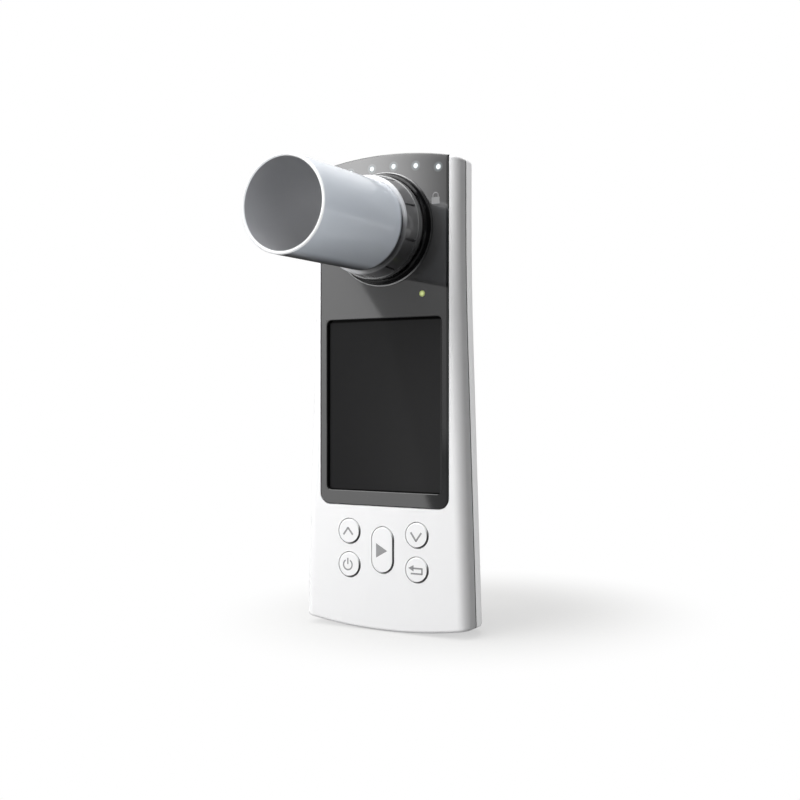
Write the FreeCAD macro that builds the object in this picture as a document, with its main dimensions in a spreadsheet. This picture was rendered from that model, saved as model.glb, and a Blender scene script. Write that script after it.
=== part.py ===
import FreeCAD, Part
import Sketcher
import math
import os

# Handheld turbine spirometer, in millimetres. X points right and Z up as the user sees the front,
# Y points into the case. Pieces are drawn with y = 0 on the panel's face and then placed.

# Driving sizes
SIZES = {
    # Case outline, seen from the front
    "case_height": 160.95,
    "top_width": 56.0,
    "side_spread": 3.93,
    "flare_drop": 42.85,
    "flare_reach": 19.96,
    "crown_radius": 125.0,
    "foot_radius": 180.0,
    # Case section
    "case_depth": 21.1,
    "parting_depth": 7.1,
    "front_edge_radius": 3.5,
    "rear_side_flat": 1.0,
    "end_edge_radius": 1.0,
    "wall": 1.8,
    "shadow_gap": 0.4,
    "parting_bevel": 0.2,
    "shadow_depth": 0.5,
    "lip_height": 1.2,
    "lip_thickness": 0.8,
    "lip_clearance": 0.1,
    # Front panel and display
    "panel_margin": 3.0,
    "panel_foot": 42.2,
    "panel_corner": 3.75,
    "panel_thickness": 1.2,
    "panel_clearance": 0.2,
    "panel_bevel": 0.25,
    "window_side": 2.6,
    "window_foot": 4.875,
    "window_drop": 29.975,
    "window_corner": 1.75,
    "glass_overlap": 0.8,
    "glass_thickness": 1.0,
    "glass_clearance": 0.15,
    "display_side": 2.6,
    "display_end": 5.275,
    "display_thickness": 2.4,
    # Flow axis, socket and bezel
    "flow_drop": 25.25,
    "bezel_radius": 19.2,
    "bezel_foot_height": 0.7,
    "bezel_wall_radius": 18.6,
    "bezel_crown_radius": 18.25,
    "bezel_reach": 2.7,
    "bezel_bore": 17.3,
    "bezel_land": 0.35,
    "spigot_radius": 18.2,
    "spigot_clearance": 0.2,
    "flange_radius": 19.6,
    "flange_thickness": 1.6,
    "collar_bore": 16.05,
    "barrel_depth": 9.4,
    "barrel_wall": 2.0,
    "duct_bore_clearance": 0.15,
    "seat_ring_height": 0.5,
    "exhaust_radius": 13.4,
    "exhaust_chamfer": 0.6,
    # Turbine cartridge
    "mouth_reach": 12.4,
    "mouth_wall": 1.3,
    "mouth_depth": 10.0,
    "grip_rise": 1.0,
    "grip_shoulder": 6.0,
    "grip_shoulder_rise": 0.7,
    "grip_reach": 3.4,
    "running_clearance": 0.05,
    "collar_depth": 8.2,
    "duct_radius": 13.0,
    "duct_wall": 1.6,
    "axial_gap": 0.3,
    "notch_count": 9,
    "notch_width": 0.8,
    "notch_depth": 0.3,
    "notch_length": 5.7,
    "lug_height": 1.0,
    "lug_length": 2.0,
    "lug_angle": 24.0,
    "lug_depth": 4.8,
    "lug_clearance": 0.2,
    "unlock_angle": 38.0,
    "stop_angle": 1.0,
    # Stators, bearings and rotor
    "vane_count": 6,
    "vane_thickness": 0.8,
    "vane_twist": 36.0,
    "vane_sections": 3,
    "stator_length": 4.6,
    "stator_rim": 0.8,
    "stator_clearance": 0.05,
    "front_stator_depth": -0.4,
    "rear_stator_recess": 0.3,
    "hub_radius": 2.6,
    "bearing_radius": 1.4,
    "bearing_length": 2.0,
    "shaft_radius": 0.5,
    "rotor_radius": 11.6,
    "rotor_gap": 1.1,
    "rotor_thickness": 0.5,
    "rotor_corner": 1.5,
    "rotor_hub_radius": 1.1,
    # Mouthpiece
    "mouthpiece_reach": 58.2,
    "mouthpiece_radius": 15.0,
    "mouthpiece_wall": 1.05,
    "mouthpiece_lip": 0.35,
    "mouthpiece_step": 0.45,
    "mouthpiece_step_gap": 0.2,
    # Seal and light barrier
    "seal_radius": 0.6,
    "seal_inset": 1.9,
    "sensor_radius": 1.5,
    "sensor_rise": 2.0,
    "sensor_length": 4.6,
    "lead_radius": 0.25,
    "lead_spacing": 1.27,
    # Buttons and switches
    "button_radius": 4.2,
    "button_gap": 0.3,
    "button_column": 13.2,
    "button_upper_row": 33.1,
    "button_lower_row": 21.6,
    "start_height": 27.35,
    "start_length": 15.5,
    "button_proud": 0.3,
    "button_edge": 0.35,
    "button_flange": 0.8,
    "button_flange_thickness": 0.8,
    "button_flange_gap": 0.3,
    "button_stem_radius": 1.5,
    "button_travel_gap": 0.35,
    "switch_width": 6.0,
    "switch_height": 2.6,
    "plunger_radius": 1.7,
    "plunger_height": 0.9,
    # Board and what it carries
    "board_depth": 8.8,
    "board_thickness": 1.2,
    "board_clearance": 0.5,
    "board_hole_clearance": 0.7,
    "led_count": 6,
    "led_margin": 3.75,
    "led_band_share": 0.62,
    "led_width": 1.6,
    "led_height": 0.7,
    "guide_radius": 0.9,
    "guide_clearance": 0.1,
    "guide_collar": 0.3,
    "guide_gap": 0.3,
    "status_column": 15.16,
    "status_drop": 22.3,
    "status_radius": 1.0,
    "battery_width": 30.0,
    "battery_end": 3.325,
    "battery_thickness": 5.6,
    "battery_drop": 2.4,
    "battery_corner": 1.2,
    "shield_width": 21.0,
    "shield_height": 15.0,
    "shield_thickness": 2.2,
    "shield_centre": 22.0,
    "buzzer_radius": 4.6,
    "buzzer_thickness": 3.2,
    "buzzer_column": 13.0,
    "buzzer_row": 38.0,
    "sound_hole_radius": 0.6,
    "sound_hole_circle": 2.4,
    "sound_hole_count": 6,
    "port_width": 8.94,
    "port_height": 3.26,
    "port_length": 7.4,
    "port_wall": 0.3,
    "port_clearance": 0.35,
    "port_start": 0.7,
    "port_round_share": 0.4,
    # Case screws
    "boss_radius": 3.2,
    "boss_tip_radius": 2.3,
    "boss_meeting_depth": 11.0,
    "boss_tip_clearance": 0.2,
    "upper_boss_inset": 6.2,
    "upper_boss_gap": 1.75,
    "lower_boss_inset": 6.93,
    "lower_boss_row": 10.0,
    "screw_radius": 1.0,
    "screw_thread_clearance": 0.02,
    "screw_hole_clearance": 0.15,
    "screw_head_radius": 1.9,
    "screw_head_height": 1.3,
    "screw_length": 8.0,
    "screw_seat_depth": 13.0,
}

doc = FreeCAD.newDocument("spirometer")
sheet = doc.addObject("Spreadsheet::Sheet", "sizes")
for row, (alias, number) in enumerate(SIZES.items(), 1):
    sheet.set("A%d" % row, alias)
    sheet.set("B%d" % row, str(number))
    sheet.setAlias("B%d" % row, alias)
doc.recompute()


class Size:
    # A number together with the spreadsheet expression that gives it.
    def __init__(self, number, text):
        self.number = float(number)
        self.text = text

    def joined(self, other, sign, number):
        return Size(number, "(%s %s %s)" % (self.text, sign, other.text))

    def __add__(self, other):
        other = as_size(other)
        return self.joined(other, "+", self.number + other.number)

    def __sub__(self, other):
        other = as_size(other)
        return self.joined(other, "-", self.number - other.number)

    def __mul__(self, other):
        other = as_size(other)
        return self.joined(other, "*", self.number * other.number)

    def __truediv__(self, other):
        other = as_size(other)
        return self.joined(other, "/", self.number / other.number)

    def __radd__(self, other):
        return as_size(other) + self

    def __rsub__(self, other):
        return as_size(other) - self

    def __rmul__(self, other):
        return as_size(other) * self

    def __rtruediv__(self, other):
        return as_size(other) / self

    def __neg__(self):
        return Size(-self.number, "(0 - %s)" % self.text)


def as_size(thing):
    if isinstance(thing, Size):
        return thing
    return Size(thing, repr(float(thing)))


def size(alias):
    return Size(sheet.get(alias), "sizes." + alias)


def root(thing):
    return Size(math.sqrt(thing.number), "sqrt(%s)" % thing.text)


def sine(degrees):
    return Size(math.sin(math.radians(degrees.number)), "sin(%s)" % degrees.text)


def cosine(degrees):
    return Size(math.cos(math.radians(degrees.number)), "cos(%s)" % degrees.text)


def larger(first, second):
    return Size(max(first.number, second.number), "max(%s; %s)" % (first.text, second.text))


def bind(item, prop, value):
    # Sets a property and keeps it tied to the spreadsheet.
    value = as_size(value)
    item.setExpression(prop, value.text)
    return value.number


# Places that several pieces share
face_y = (size("mouthpiece_reach") - size("case_depth")) / 2
wall_back = size("panel_thickness") + size("wall")
top_half = size("top_width") / 2
board_back = size("board_depth") + size("board_thickness")
rear_inside = size("case_depth") - size("wall")
rear_edge_radius = size("case_depth") - size("parting_depth") - size("rear_side_flat")
flare_height = size("case_height") - size("flare_drop")
flow_height = size("case_height") - size("flow_drop")
panel_width = size("top_width") - 2 * size("panel_margin")
window_width = panel_width - 2 * size("window_side")
window_low = size("panel_foot") + size("window_foot")
window_high = flow_height - size("window_drop")
window_height = window_high - window_low
window_centre = (window_high + window_low) / 2
duct_outside = size("duct_radius") + size("duct_wall")
duct_end = rear_inside - size("seat_ring_height") - size("axial_gap")
collar_radius = size("collar_bore") - size("running_clearance")
flow_hole = size("spigot_radius") + size("spigot_clearance")
seat_radius = size("mouthpiece_radius") - size("mouthpiece_step")
mouth_radius = size("mouthpiece_radius") + size("mouth_wall")
grip_radius = mouth_radius + size("grip_rise")
shoulder_radius = mouth_radius + size("grip_shoulder_rise")
front_stator_end = size("front_stator_depth") + size("stator_length")
rear_stator_depth = duct_end - size("rear_stator_recess") - size("stator_length")
rotor_start = front_stator_end + size("rotor_gap")
rotor_length = rear_stator_depth - front_stator_end - 2 * size("rotor_gap")
seal_depth = duct_end - size("seal_inset")
sensor_depth = board_back + size("sensor_rise")
led_inset = (size("flow_drop") - flow_hole) * size("led_band_share")
led_pitch = (panel_width - 2 * size("led_margin")) / (size("led_count") - 1)
status_row = flow_height - size("status_drop")
socket_bore = duct_outside + size("duct_bore_clearance")
mouth_floor = size("mouth_depth") - size("mouth_reach")
pieces = []


# Bodies, sketches and features

def new_body(label, x=0, z=0):
    body = doc.addObject("PartDesign::Body", label)
    body.Label = label
    bind(body, "Placement.Base.x", x)
    bind(body, "Placement.Base.y", face_y)
    bind(body, "Placement.Base.z", z)
    pieces.append(body)
    return body


def flow_body(label):
    return new_body(label, z=flow_height)


def origin_plane(body, role):
    for feature in body.Origin.OriginFeatures:
        if feature.Role == role:
            return feature
    raise ValueError("no plane " + role)


def front_sketch(body, name, depth=0, turn=0):
    # A sketch seen from the front: sketch x is X and sketch y is Z, at the given depth.
    # A turn is anticlockwise, about the body's own Y axis.
    sketch = body.newObject("Sketcher::SketchObject", name)
    sketch.AttachmentSupport = [(origin_plane(body, "XZ_Plane"), "")]
    sketch.MapMode = "FlatFace"
    bind(sketch, "AttachmentOffset.Base.z", 0 - as_size(depth))
    sketch.AttachmentOffset.Rotation.Axis = FreeCAD.Vector(0, 0, 1)
    bind(sketch, "AttachmentOffset.Rotation.Angle", turn)
    return sketch


def side_sketch(body, name, turn=0):
    # A half section: sketch x is Y and sketch y is the distance from the body's Y axis,
    # upwards, or turned about that axis, clockwise as seen from the front.
    sketch = body.newObject("Sketcher::SketchObject", name)
    sketch.AttachmentSupport = [(origin_plane(body, "YZ_Plane"), "")]
    sketch.MapMode = "FlatFace"
    along_axis = FreeCAD.Rotation(FreeCAD.Vector(1, 0, 0), 0)
    sketch.AttachmentOffset = FreeCAD.Placement(FreeCAD.Vector(), along_axis)
    bind(sketch, "AttachmentOffset.Rotation.Angle", turn)
    return sketch


def pin_point(sketch, geometry, end, x, y):
    for kind, value in (("DistanceX", x), ("DistanceY", y)):
        index = sketch.addConstraint(Sketcher.Constraint(kind, -1, 1, geometry, end, value.number))
        sketch.setExpression("Constraints[%d]" % index, value.text)


def pin_radius(sketch, geometry, radius):
    index = sketch.addConstraint(Sketcher.Constraint("Radius", geometry, radius.number))
    sketch.setExpression("Constraints[%d]" % index, radius.text)


def arc_between(start, end, radius, turn):
    # The short arc from start to end, anticlockwise where turn is 1 and clockwise where it is -1.
    chord = end - start
    middle = (start + end) / 2
    rise = math.sqrt(max(radius ** 2 - (chord.Length / 2) ** 2, 0))
    centre = middle + FreeCAD.Vector(-chord.y, chord.x, 0).normalize() * rise * turn
    first = math.atan2(start.y - centre.y, start.x - centre.x)
    last = math.atan2(end.y - centre.y, end.x - centre.x)
    if turn < 0:
        first, last = last, first
    circle = Part.Circle(centre, FreeCAD.Vector(0, 0, 1), radius)
    return Part.ArcOfCircle(circle, first, last)


def draw_outline(sketch, start, moves):
    # A closed outline. A move is (x, y) for a straight side and (x, y, radius, turn) for an arc.
    corners = [(as_size(move[0]), as_size(move[1])) for move in [start] + moves]
    points = [FreeCAD.Vector(x.number, y.number, 0) for x, y in corners]
    first = sketch.GeometryCount
    ends = []
    for number, move in enumerate(moves):
        begin, stop = points[number], points[number + 1]
        if len(move) == 2:
            sketch.addGeometry(Part.LineSegment(begin, stop))
            ends.append((1, 2))
        else:
            radius, turn = as_size(move[2]), move[3]
            sketch.addGeometry(arc_between(begin, stop, radius.number, turn))
            ends.append((1, 2) if turn > 0 else (2, 1))
    for number in range(len(moves)):
        following = (number + 1) % len(moves)
        sketch.addConstraint(Sketcher.Constraint(
            "Coincident", first + number, ends[number][1], first + following, ends[following][0]))
        pin_point(sketch, first + number, ends[number][0], *corners[number])
        if len(moves[number]) == 4:
            pin_radius(sketch, first + number, as_size(moves[number][2]))


def draw_rectangle(sketch, x, y, width, height):
    # A rectangle about the centre x, y.
    left, right = x - width / 2, x + width / 2
    low, high = y - height / 2, y + height / 2
    draw_outline(sketch, (left, low), [(right, low), (right, high), (left, high), (left, low)])


def draw_rounded(sketch, x, y, width, height, radius):
    left, right = x - width / 2, x + width / 2
    low, high = y - height / 2, y + height / 2
    draw_outline(sketch, (left + radius, low), [
        (right - radius, low), (right, low + radius, radius, 1),
        (right, high - radius), (right - radius, high, radius, 1),
        (left + radius, high), (left, high - radius, radius, 1),
        (left, low + radius), (left + radius, low, radius, 1)])


def draw_capsule(sketch, x, y, radius, length):
    # An upright capsule, as wide as two radii.
    rise = length / 2 - radius
    draw_outline(sketch, (x + radius, y - rise), [
        (x + radius, y + rise), (x, y + rise + radius, radius, 1), (x - radius, y + rise, radius, 1),
        (x - radius, y - rise), (x, y - rise - radius, radius, 1), (x + radius, y - rise, radius, 1)])


def draw_circle(sketch, x, y, radius):
    x, y, radius = as_size(x), as_size(y), as_size(radius)
    circle = Part.Circle(FreeCAD.Vector(x.number, y.number, 0), FreeCAD.Vector(0, 0, 1), radius.number)
    number = sketch.addGeometry(circle)
    pin_point(sketch, number, 3, x, y)
    pin_radius(sketch, number, radius)


def pad(body, sketch, length, forward=False):
    # Adds material from the sketch into the case, or forward to the user.
    feature = body.newObject("PartDesign::Pad", sketch.Name + "_pad")
    feature.Profile = sketch
    feature.Reversed = not forward
    bind(feature, "Length", length)
    doc.recompute()
    return feature


def pocket(body, sketch, length, forward=False):
    # Cuts from the sketch into the case, or forward to the user, and makes sure that it cut.
    before = body.Shape.Volume
    feature = body.newObject("PartDesign::Pocket", sketch.Name + "_cut")
    feature.Profile = sketch
    feature.Reversed = forward
    bind(feature, "Length", length)
    doc.recompute()
    check_cut(body, before, sketch)
    return feature


def check_cut(body, before, sketch):
    if not body.Shape.Volume < before:
        raise ValueError("%s takes nothing from %s" % (sketch.Name, body.Label))


def revolve(body, name, corners):
    # A full turn of the section given by (y, radius) corners.
    sketch = side_sketch(body, name)
    draw_outline(sketch, corners[0], corners[1:] + [corners[0]])
    feature = body.newObject("PartDesign::Revolution", name + "_turn")
    feature.Profile = sketch
    feature.ReferenceAxis = (sketch, ["H_Axis"])
    feature.Angle = 360
    doc.recompute()
    return feature


def sector(body, name, kind, corners, centre_angle, width_angle):
    # Part of a turn, symmetric about centre_angle, measured clockwise from the top.
    before = body.Shape.Volume
    sketch = side_sketch(body, name, centre_angle)
    draw_outline(sketch, corners[0], corners[1:] + [corners[0]])
    feature = body.newObject("PartDesign::" + kind, name + "_turn")
    feature.Profile = sketch
    feature.ReferenceAxis = (sketch, ["H_Axis"])
    feature.Midplane = True
    bind(feature, "Angle", width_angle)
    doc.recompute()
    if kind == "Groove":
        check_cut(body, before, sketch)
    return feature


def round_edges(body, name, radius, test):
    # Rounds every edge of the body's tip whose sample points all pass the test. The test gets a
    # point and the middle of its edge.
    base = body.Tip
    feature = body.newObject("PartDesign::Fillet", name)
    feature.Base = (base, chosen_edges(base, test))
    bind(feature, "Radius", radius)
    doc.recompute()
    return feature


def bevel_edges(body, name, breadth, test):
    base = body.Tip
    feature = body.newObject("PartDesign::Chamfer", name)
    feature.Base = (base, chosen_edges(base, test))
    bind(feature, "Size", breadth)
    doc.recompute()
    return feature


def cut_body(body, name, tool):
    # Takes the tool body's shape away from the body.
    before = body.Shape.Volume
    feature = body.newObject("PartDesign::Boolean", name)
    feature.Type = "Cut"
    feature.Group = [tool]
    doc.recompute()
    check_cut(body, before, feature)
    return feature


def chosen_edges(feature, test):
    names = []
    for number, edge in enumerate(feature.Shape.Edges, 1):
        first, last = edge.ParameterRange
        points = [edge.valueAt(first + (last - first) * share) for share in (0, 0.25, 0.5, 0.75, 1)]
        if all(test(point, points[2]) for point in points):
            names.append("Edge%d" % number)
    if not names:
        raise ValueError("no edges for " + feature.Name)
    return names


def ring_pattern(body, name, features, count):
    # Repeats features round the body's Y axis.
    pattern = body.newObject("PartDesign::PolarPattern", name)
    pattern.Originals = features
    pattern.Axis = (origin_plane(body, "Y_Axis"), [""])
    pattern.Angle = 360
    bind(pattern, "Occurrences", count)
    body.Tip = pattern
    doc.recompute()
    return pattern


def near(value, target, slack=0.001):
    return abs(value - target) < slack


# Case outline

def case_outline(inset=0):
    # The front view of the case, drawn smaller by the inset: crown and foot arcs, parallel upper
    # sides, and a soft curve into sides that spread down to the foot.
    inset = as_size(inset)
    half = top_half - inset
    slope = size("side_spread") / flare_height
    lean = root(1 + slope * slope)
    bend_share = (lean - 1) / slope
    crown_radius = size("crown_radius") - inset
    foot_radius = size("foot_radius") - inset
    crown_centre = size("case_height") - size("crown_radius")
    crown_corner = crown_centre + root(crown_radius * crown_radius - half * half)
    meeting = flare_height - inset * bend_share
    bend = size("flare_reach") / bend_share + inset
    tangent = bend * bend_share
    # Where the leaning side meets the foot arc
    reach = half + slope * meeting
    middle = reach * slope + size("foot_radius")
    spread = size("foot_radius") * size("foot_radius") - foot_radius * foot_radius + reach * reach
    foot_corner = (middle - root(middle * middle - lean * lean * spread)) / (lean * lean)
    foot_half = reach - slope * foot_corner
    bend_half = half + tangent * slope / lean
    bend_low = meeting - tangent / lean
    return (foot_half, foot_corner), [
        (bend_half, bend_low),
        (half, meeting + tangent, bend, -1),
        (half, crown_corner),
        (-half, crown_corner, crown_radius, 1),
        (-half, meeting + tangent),
        (-bend_half, bend_low, bend, -1),
        (-foot_half, foot_corner),
        (foot_half, foot_corner, foot_radius, 1)]


def case_sketch(body, name, depth, *insets):
    sketch = front_sketch(body, name, depth)
    for inset in insets:
        draw_outline(sketch, *case_outline(inset))
    return sketch


def at_depth(depth):
    return lambda point, middle: near(point.y, depth.number)


def on_long_side(depth):
    inner = (top_half - 2 * size("wall")).number
    return lambda point, middle: near(point.y, depth) and abs(point.x) > inner


def on_end(parting):
    # The border of the crown face and of the foot face, without the long edge in the parting plane.
    crown = size("crown_radius").number
    foot = size("foot_radius").number
    crown_centre = size("case_height").number - crown

    def test(edge_point, edge_middle):
        at_crown = near(math.hypot(edge_point.x, edge_point.z - crown_centre), crown)
        at_foot = near(math.hypot(edge_point.x, edge_point.z - foot), foot)
        return (at_crown or at_foot) and not near(edge_middle.y, parting.number)

    return test


# Places of the repeated pieces

def button_places():
    column = size("button_column")
    return {
        "up_button": (-column, size("button_upper_row")),
        "down_button": (column, size("button_upper_row")),
        "power_button": (-column, size("button_lower_row")),
        "return_button": (column, size("button_lower_row")),
    }


def screw_places():
    # The upper posts stand clear of the socket's flange, the lower ones near the foot.
    upper = top_half - size("upper_boss_inset")
    clear = size("flange_radius") + size("boss_radius") + size("upper_boss_gap")
    clear = larger(clear, upper + size("upper_boss_gap"))
    upper_row = flow_height + root(clear * clear - upper * upper)
    lower = top_half + size("side_spread") - size("lower_boss_inset")
    places = []
    for side in (-1, 1):
        places.append((side * upper, upper_row))
        places.append((side * lower, size("lower_boss_row")))
    return places


def led_places():
    # Six lights on an arc that follows the crown.
    arc_radius = size("crown_radius") - led_inset
    arc_centre = size("case_height") - size("crown_radius")
    count = int(size("led_count").number)
    places = []
    for number in range(count):
        x = (number - (count - 1) / 2) * led_pitch
        places.append((x, arc_centre + root(arc_radius * arc_radius - x * x)))
    return places


def status_place():
    return size("status_column"), status_row


# Case

def front_cover():
    body = new_body("front_cover")
    skirt_end = size("parting_depth") - size("shadow_gap")
    pad(body, case_sketch(body, "front_outline", 0, 0), skirt_end)
    round_edges(body, "front_long_edges", size("front_edge_radius"), on_long_side(0))
    round_edges(body, "front_end_edges", size("end_edge_radius"), on_end(skirt_end))
    bevel_edges(body, "front_parting_bevel", size("parting_bevel"), at_depth(skirt_end))
    pad(body, case_sketch(body, "front_shadow_gap", skirt_end, size("shadow_depth")), size("shadow_gap"))
    inside = case_sketch(body, "front_inside", size("parting_depth"), size("wall"))
    pocket(body, inside, size("parting_depth") - wall_back, forward=True)
    seat = front_sketch(body, "panel_seat")
    draw_panel_outline(seat, size("panel_clearance"))
    pocket(body, seat, size("panel_thickness"))
    openings = front_sketch(body, "front_openings")
    draw_circle(openings, 0, flow_height, flow_hole)
    margin = 2 * (size("glass_overlap") + size("glass_clearance"))
    draw_rectangle(openings, as_size(0), window_centre,
                   window_width + margin, window_height + margin)
    for x, z in led_places():
        draw_circle(openings, x, z, size("guide_radius") + size("guide_clearance"))
    draw_circle(openings, *status_place(), size("status_radius") + size("guide_clearance"))
    gap = size("button_gap")
    for x, z in button_places().values():
        draw_circle(openings, x, z, size("button_radius") + gap)
    draw_capsule(openings, as_size(0), size("start_height"), size("button_radius") + gap,
                 size("start_length") + 2 * gap)
    pocket(body, openings, wall_back)
    front_bosses(body)
    return body


def front_bosses(body):
    # Posts that carry the board on a shoulder and take the case screws.
    posts = front_sketch(body, "boss_posts", wall_back)
    tips = front_sketch(body, "boss_tips", size("board_depth"))
    holes = front_sketch(body, "boss_holes", size("boss_meeting_depth"))
    for x, z in screw_places():
        draw_circle(posts, x, z, size("boss_radius"))
        draw_circle(tips, x, z, size("boss_tip_radius"))
        draw_circle(holes, x, z, size("screw_radius") + size("screw_thread_clearance"))
    pad(body, posts, size("board_depth") - wall_back)
    pad(body, tips, size("boss_meeting_depth") - size("board_depth"))
    pocket(body, holes, size("boss_meeting_depth") - wall_back, forward=True)


def rear_cover():
    body = new_body("rear_cover")
    parting = size("parting_depth")
    pad(body, case_sketch(body, "rear_outline", parting, 0), size("case_depth") - parting)
    round_edges(body, "rear_long_edges", rear_edge_radius, on_long_side(size("case_depth").number))
    round_edges(body, "rear_end_edges", size("end_edge_radius"), on_end(parting))
    bevel_edges(body, "rear_parting_bevel", size("parting_bevel"), at_depth(parting))
    cut_body(body, "rear_inside", rear_cavity())
    rear_lip(body)
    screw_wells(body)
    rear_flow_opening(body)
    sound_holes(body)
    port_opening(body)
    return body


def rear_lip(body):
    # A tongue inside the wall that reaches into the front cover and centres it.
    outer = size("wall") + size("lip_clearance")
    inner = outer + size("lip_thickness")
    wall_side = size("wall") - size("lip_clearance")
    root_ring = case_sketch(body, "lip_root", size("parting_depth"), wall_side, inner)
    pad(body, root_ring, size("lip_height"))
    tongue = case_sketch(body, "lip_tongue", size("parting_depth"), outer, inner)
    pad(body, tongue, size("lip_height"), forward=True)


def rear_cavity():
    # The hollow of the rear cover, in the cover's own frame. It leaves an even wall and the
    # four screw posts.
    body = doc.addObject("PartDesign::Body", "rear_cavity")
    parting = size("parting_depth")
    pad(body, case_sketch(body, "cavity_outline", parting, size("wall")), rear_inside - parting)
    round_edges(body, "cavity_long_edges", rear_edge_radius - size("wall"),
                on_long_side(rear_inside.number))
    posts = front_sketch(body, "rear_posts", size("boss_meeting_depth"))
    for x, z in screw_places():
        draw_circle(posts, x, z, size("boss_radius"))
    pocket(body, posts, rear_inside - size("boss_meeting_depth"))
    return body


def screw_wells(body):
    wells = front_sketch(body, "screw_wells", size("screw_seat_depth"))
    holes = front_sketch(body, "screw_holes", size("boss_meeting_depth"))
    for x, z in screw_places():
        draw_circle(wells, x, z, size("screw_head_radius") + size("screw_hole_clearance"))
        draw_circle(holes, x, z, size("screw_radius") + size("screw_hole_clearance"))
    pocket(body, wells, size("case_depth") - size("screw_seat_depth"))
    pocket(body, holes, size("screw_seat_depth") - size("boss_meeting_depth"))


def rear_flow_opening(body):
    # The round way out for the breath, with a seat ring for the socket.
    ring = front_sketch(body, "seat_ring", rear_inside - size("seat_ring_height"))
    draw_circle(ring, 0, flow_height, socket_bore + size("barrel_wall"))
    pad(body, ring, size("seat_ring_height") + size("wall") / 2)
    way_out = front_sketch(body, "exhaust_hole", rear_inside - size("seat_ring_height"))
    draw_circle(way_out, 0, flow_height, size("exhaust_radius"))
    pocket(body, way_out, size("wall") + size("seat_ring_height"))
    flow, radius, back = flow_height.number, size("exhaust_radius").number, size("case_depth").number

    def at_exhaust(point, middle):
        return near(point.y, back) and near(math.hypot(point.x, point.z - flow), radius)

    bevel_edges(body, "exhaust_bevel", size("exhaust_chamfer"), at_exhaust)


def sound_holes(body):
    holes = front_sketch(body, "sound_holes", rear_inside)
    centre_x, centre_z = -size("buzzer_column"), size("buzzer_row")
    draw_circle(holes, centre_x, centre_z, size("sound_hole_radius"))
    for number in range(int(size("sound_hole_count").number)):
        angle = 360 * number / size("sound_hole_count")
        x = centre_x + size("sound_hole_circle") * cosine(angle)
        z = centre_z + size("sound_hole_circle") * sine(angle)
        draw_circle(holes, x, z, size("sound_hole_radius"))
    pocket(body, holes, size("wall"))


def port_centre_depth():
    return board_back + size("port_height") / 2


def port_opening(body):
    sketch = body.newObject("Sketcher::SketchObject", "port_opening")
    sketch.AttachmentSupport = [(origin_plane(body, "XY_Plane"), "")]
    sketch.MapMode = "FlatFace"
    inside_foot = 2 * size("wall")
    bind(sketch, "AttachmentOffset.Base.z", inside_foot)
    clearance = 2 * size("port_clearance")
    width = size("port_width") + clearance
    height = size("port_height") + clearance
    draw_rounded(sketch, as_size(0), port_centre_depth(), width, height, height * size("port_round_share"))
    pocket(body, sketch, inside_foot + size("wall"))


# Panel and display

def draw_panel_outline(sketch, growth):
    # The panel runs off the crown, so its seat is open at the top. Growth widens it.
    half = panel_width / 2 + growth
    corner = size("panel_corner") + growth
    low = size("panel_foot") - growth
    crown_radius = size("crown_radius") + growth
    crown_centre = size("case_height") - size("crown_radius")
    high = crown_centre + root(crown_radius * crown_radius - half * half)
    draw_outline(sketch, (half, low + corner), [
        (half, high), (-half, high, crown_radius, 1),
        (-half, low + corner), (-half + corner, low, corner, 1),
        (half - corner, low), (half, low + corner, corner, 1)])


def front_panel():
    body = new_body("front_panel")
    sketch = front_sketch(body, "panel_outline")
    draw_panel_outline(sketch, as_size(0))
    draw_rounded(sketch, as_size(0), window_centre, window_width, window_height,
                 size("window_corner"))
    draw_circle(sketch, 0, flow_height, flow_hole)
    for x, z in led_places():
        draw_circle(sketch, x, z, size("guide_radius") + size("guide_clearance"))
    draw_circle(sketch, *status_place(), size("status_radius") + size("guide_clearance"))
    pad(body, sketch, size("panel_thickness"))
    window_half = window_width.number / 2 + 0.001
    window_reach = window_height.number / 2 + 0.001
    window_middle = window_centre.number

    def at_window(point, middle):
        inside = abs(point.x) < window_half and abs(point.z - window_middle) < window_reach
        return inside and near(point.y, 0)

    bevel_edges(body, "window_bevel", size("panel_bevel"), at_window)
    half = panel_width.number / 2
    crown = size("crown_radius").number
    crown_centre = size("case_height").number - crown
    foot_end = (size("panel_foot") + size("panel_corner")).number

    def at_border(point, middle):
        at_crown = near(math.hypot(point.x, point.z - crown_centre), crown)
        at_side = near(abs(point.x), half)
        return near(point.y, 0) and (at_crown or at_side or point.z < foot_end + 0.001)

    bevel_edges(body, "border_bevel", size("panel_bevel"), at_border)
    return body


def display_glass():
    body = new_body("display_glass")
    sketch = front_sketch(body, "glass_outline", size("panel_thickness"))
    margin = 2 * size("glass_overlap")
    draw_rectangle(sketch, as_size(0), window_centre,
                   window_width + margin, window_height + margin)
    pad(body, sketch, size("glass_thickness"))
    return body


def display_module():
    # The frame rests on the back of the cover's wall and its face fills the window up to the glass.
    body = new_body("display_module")
    frame = front_sketch(body, "display_frame", wall_back)
    draw_rectangle(frame, as_size(0), window_centre, window_width + 2 * size("display_side"),
                   window_height + 2 * size("display_end"))
    pad(body, frame, size("display_thickness"))
    face = front_sketch(body, "display_face", wall_back)
    margin = 2 * size("glass_overlap")
    draw_rectangle(face, as_size(0), window_centre,
                   window_width + margin, window_height + margin)
    pad(body, face, wall_back - size("panel_thickness") - size("glass_thickness"), forward=True)
    return body


# Socket in the case

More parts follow.
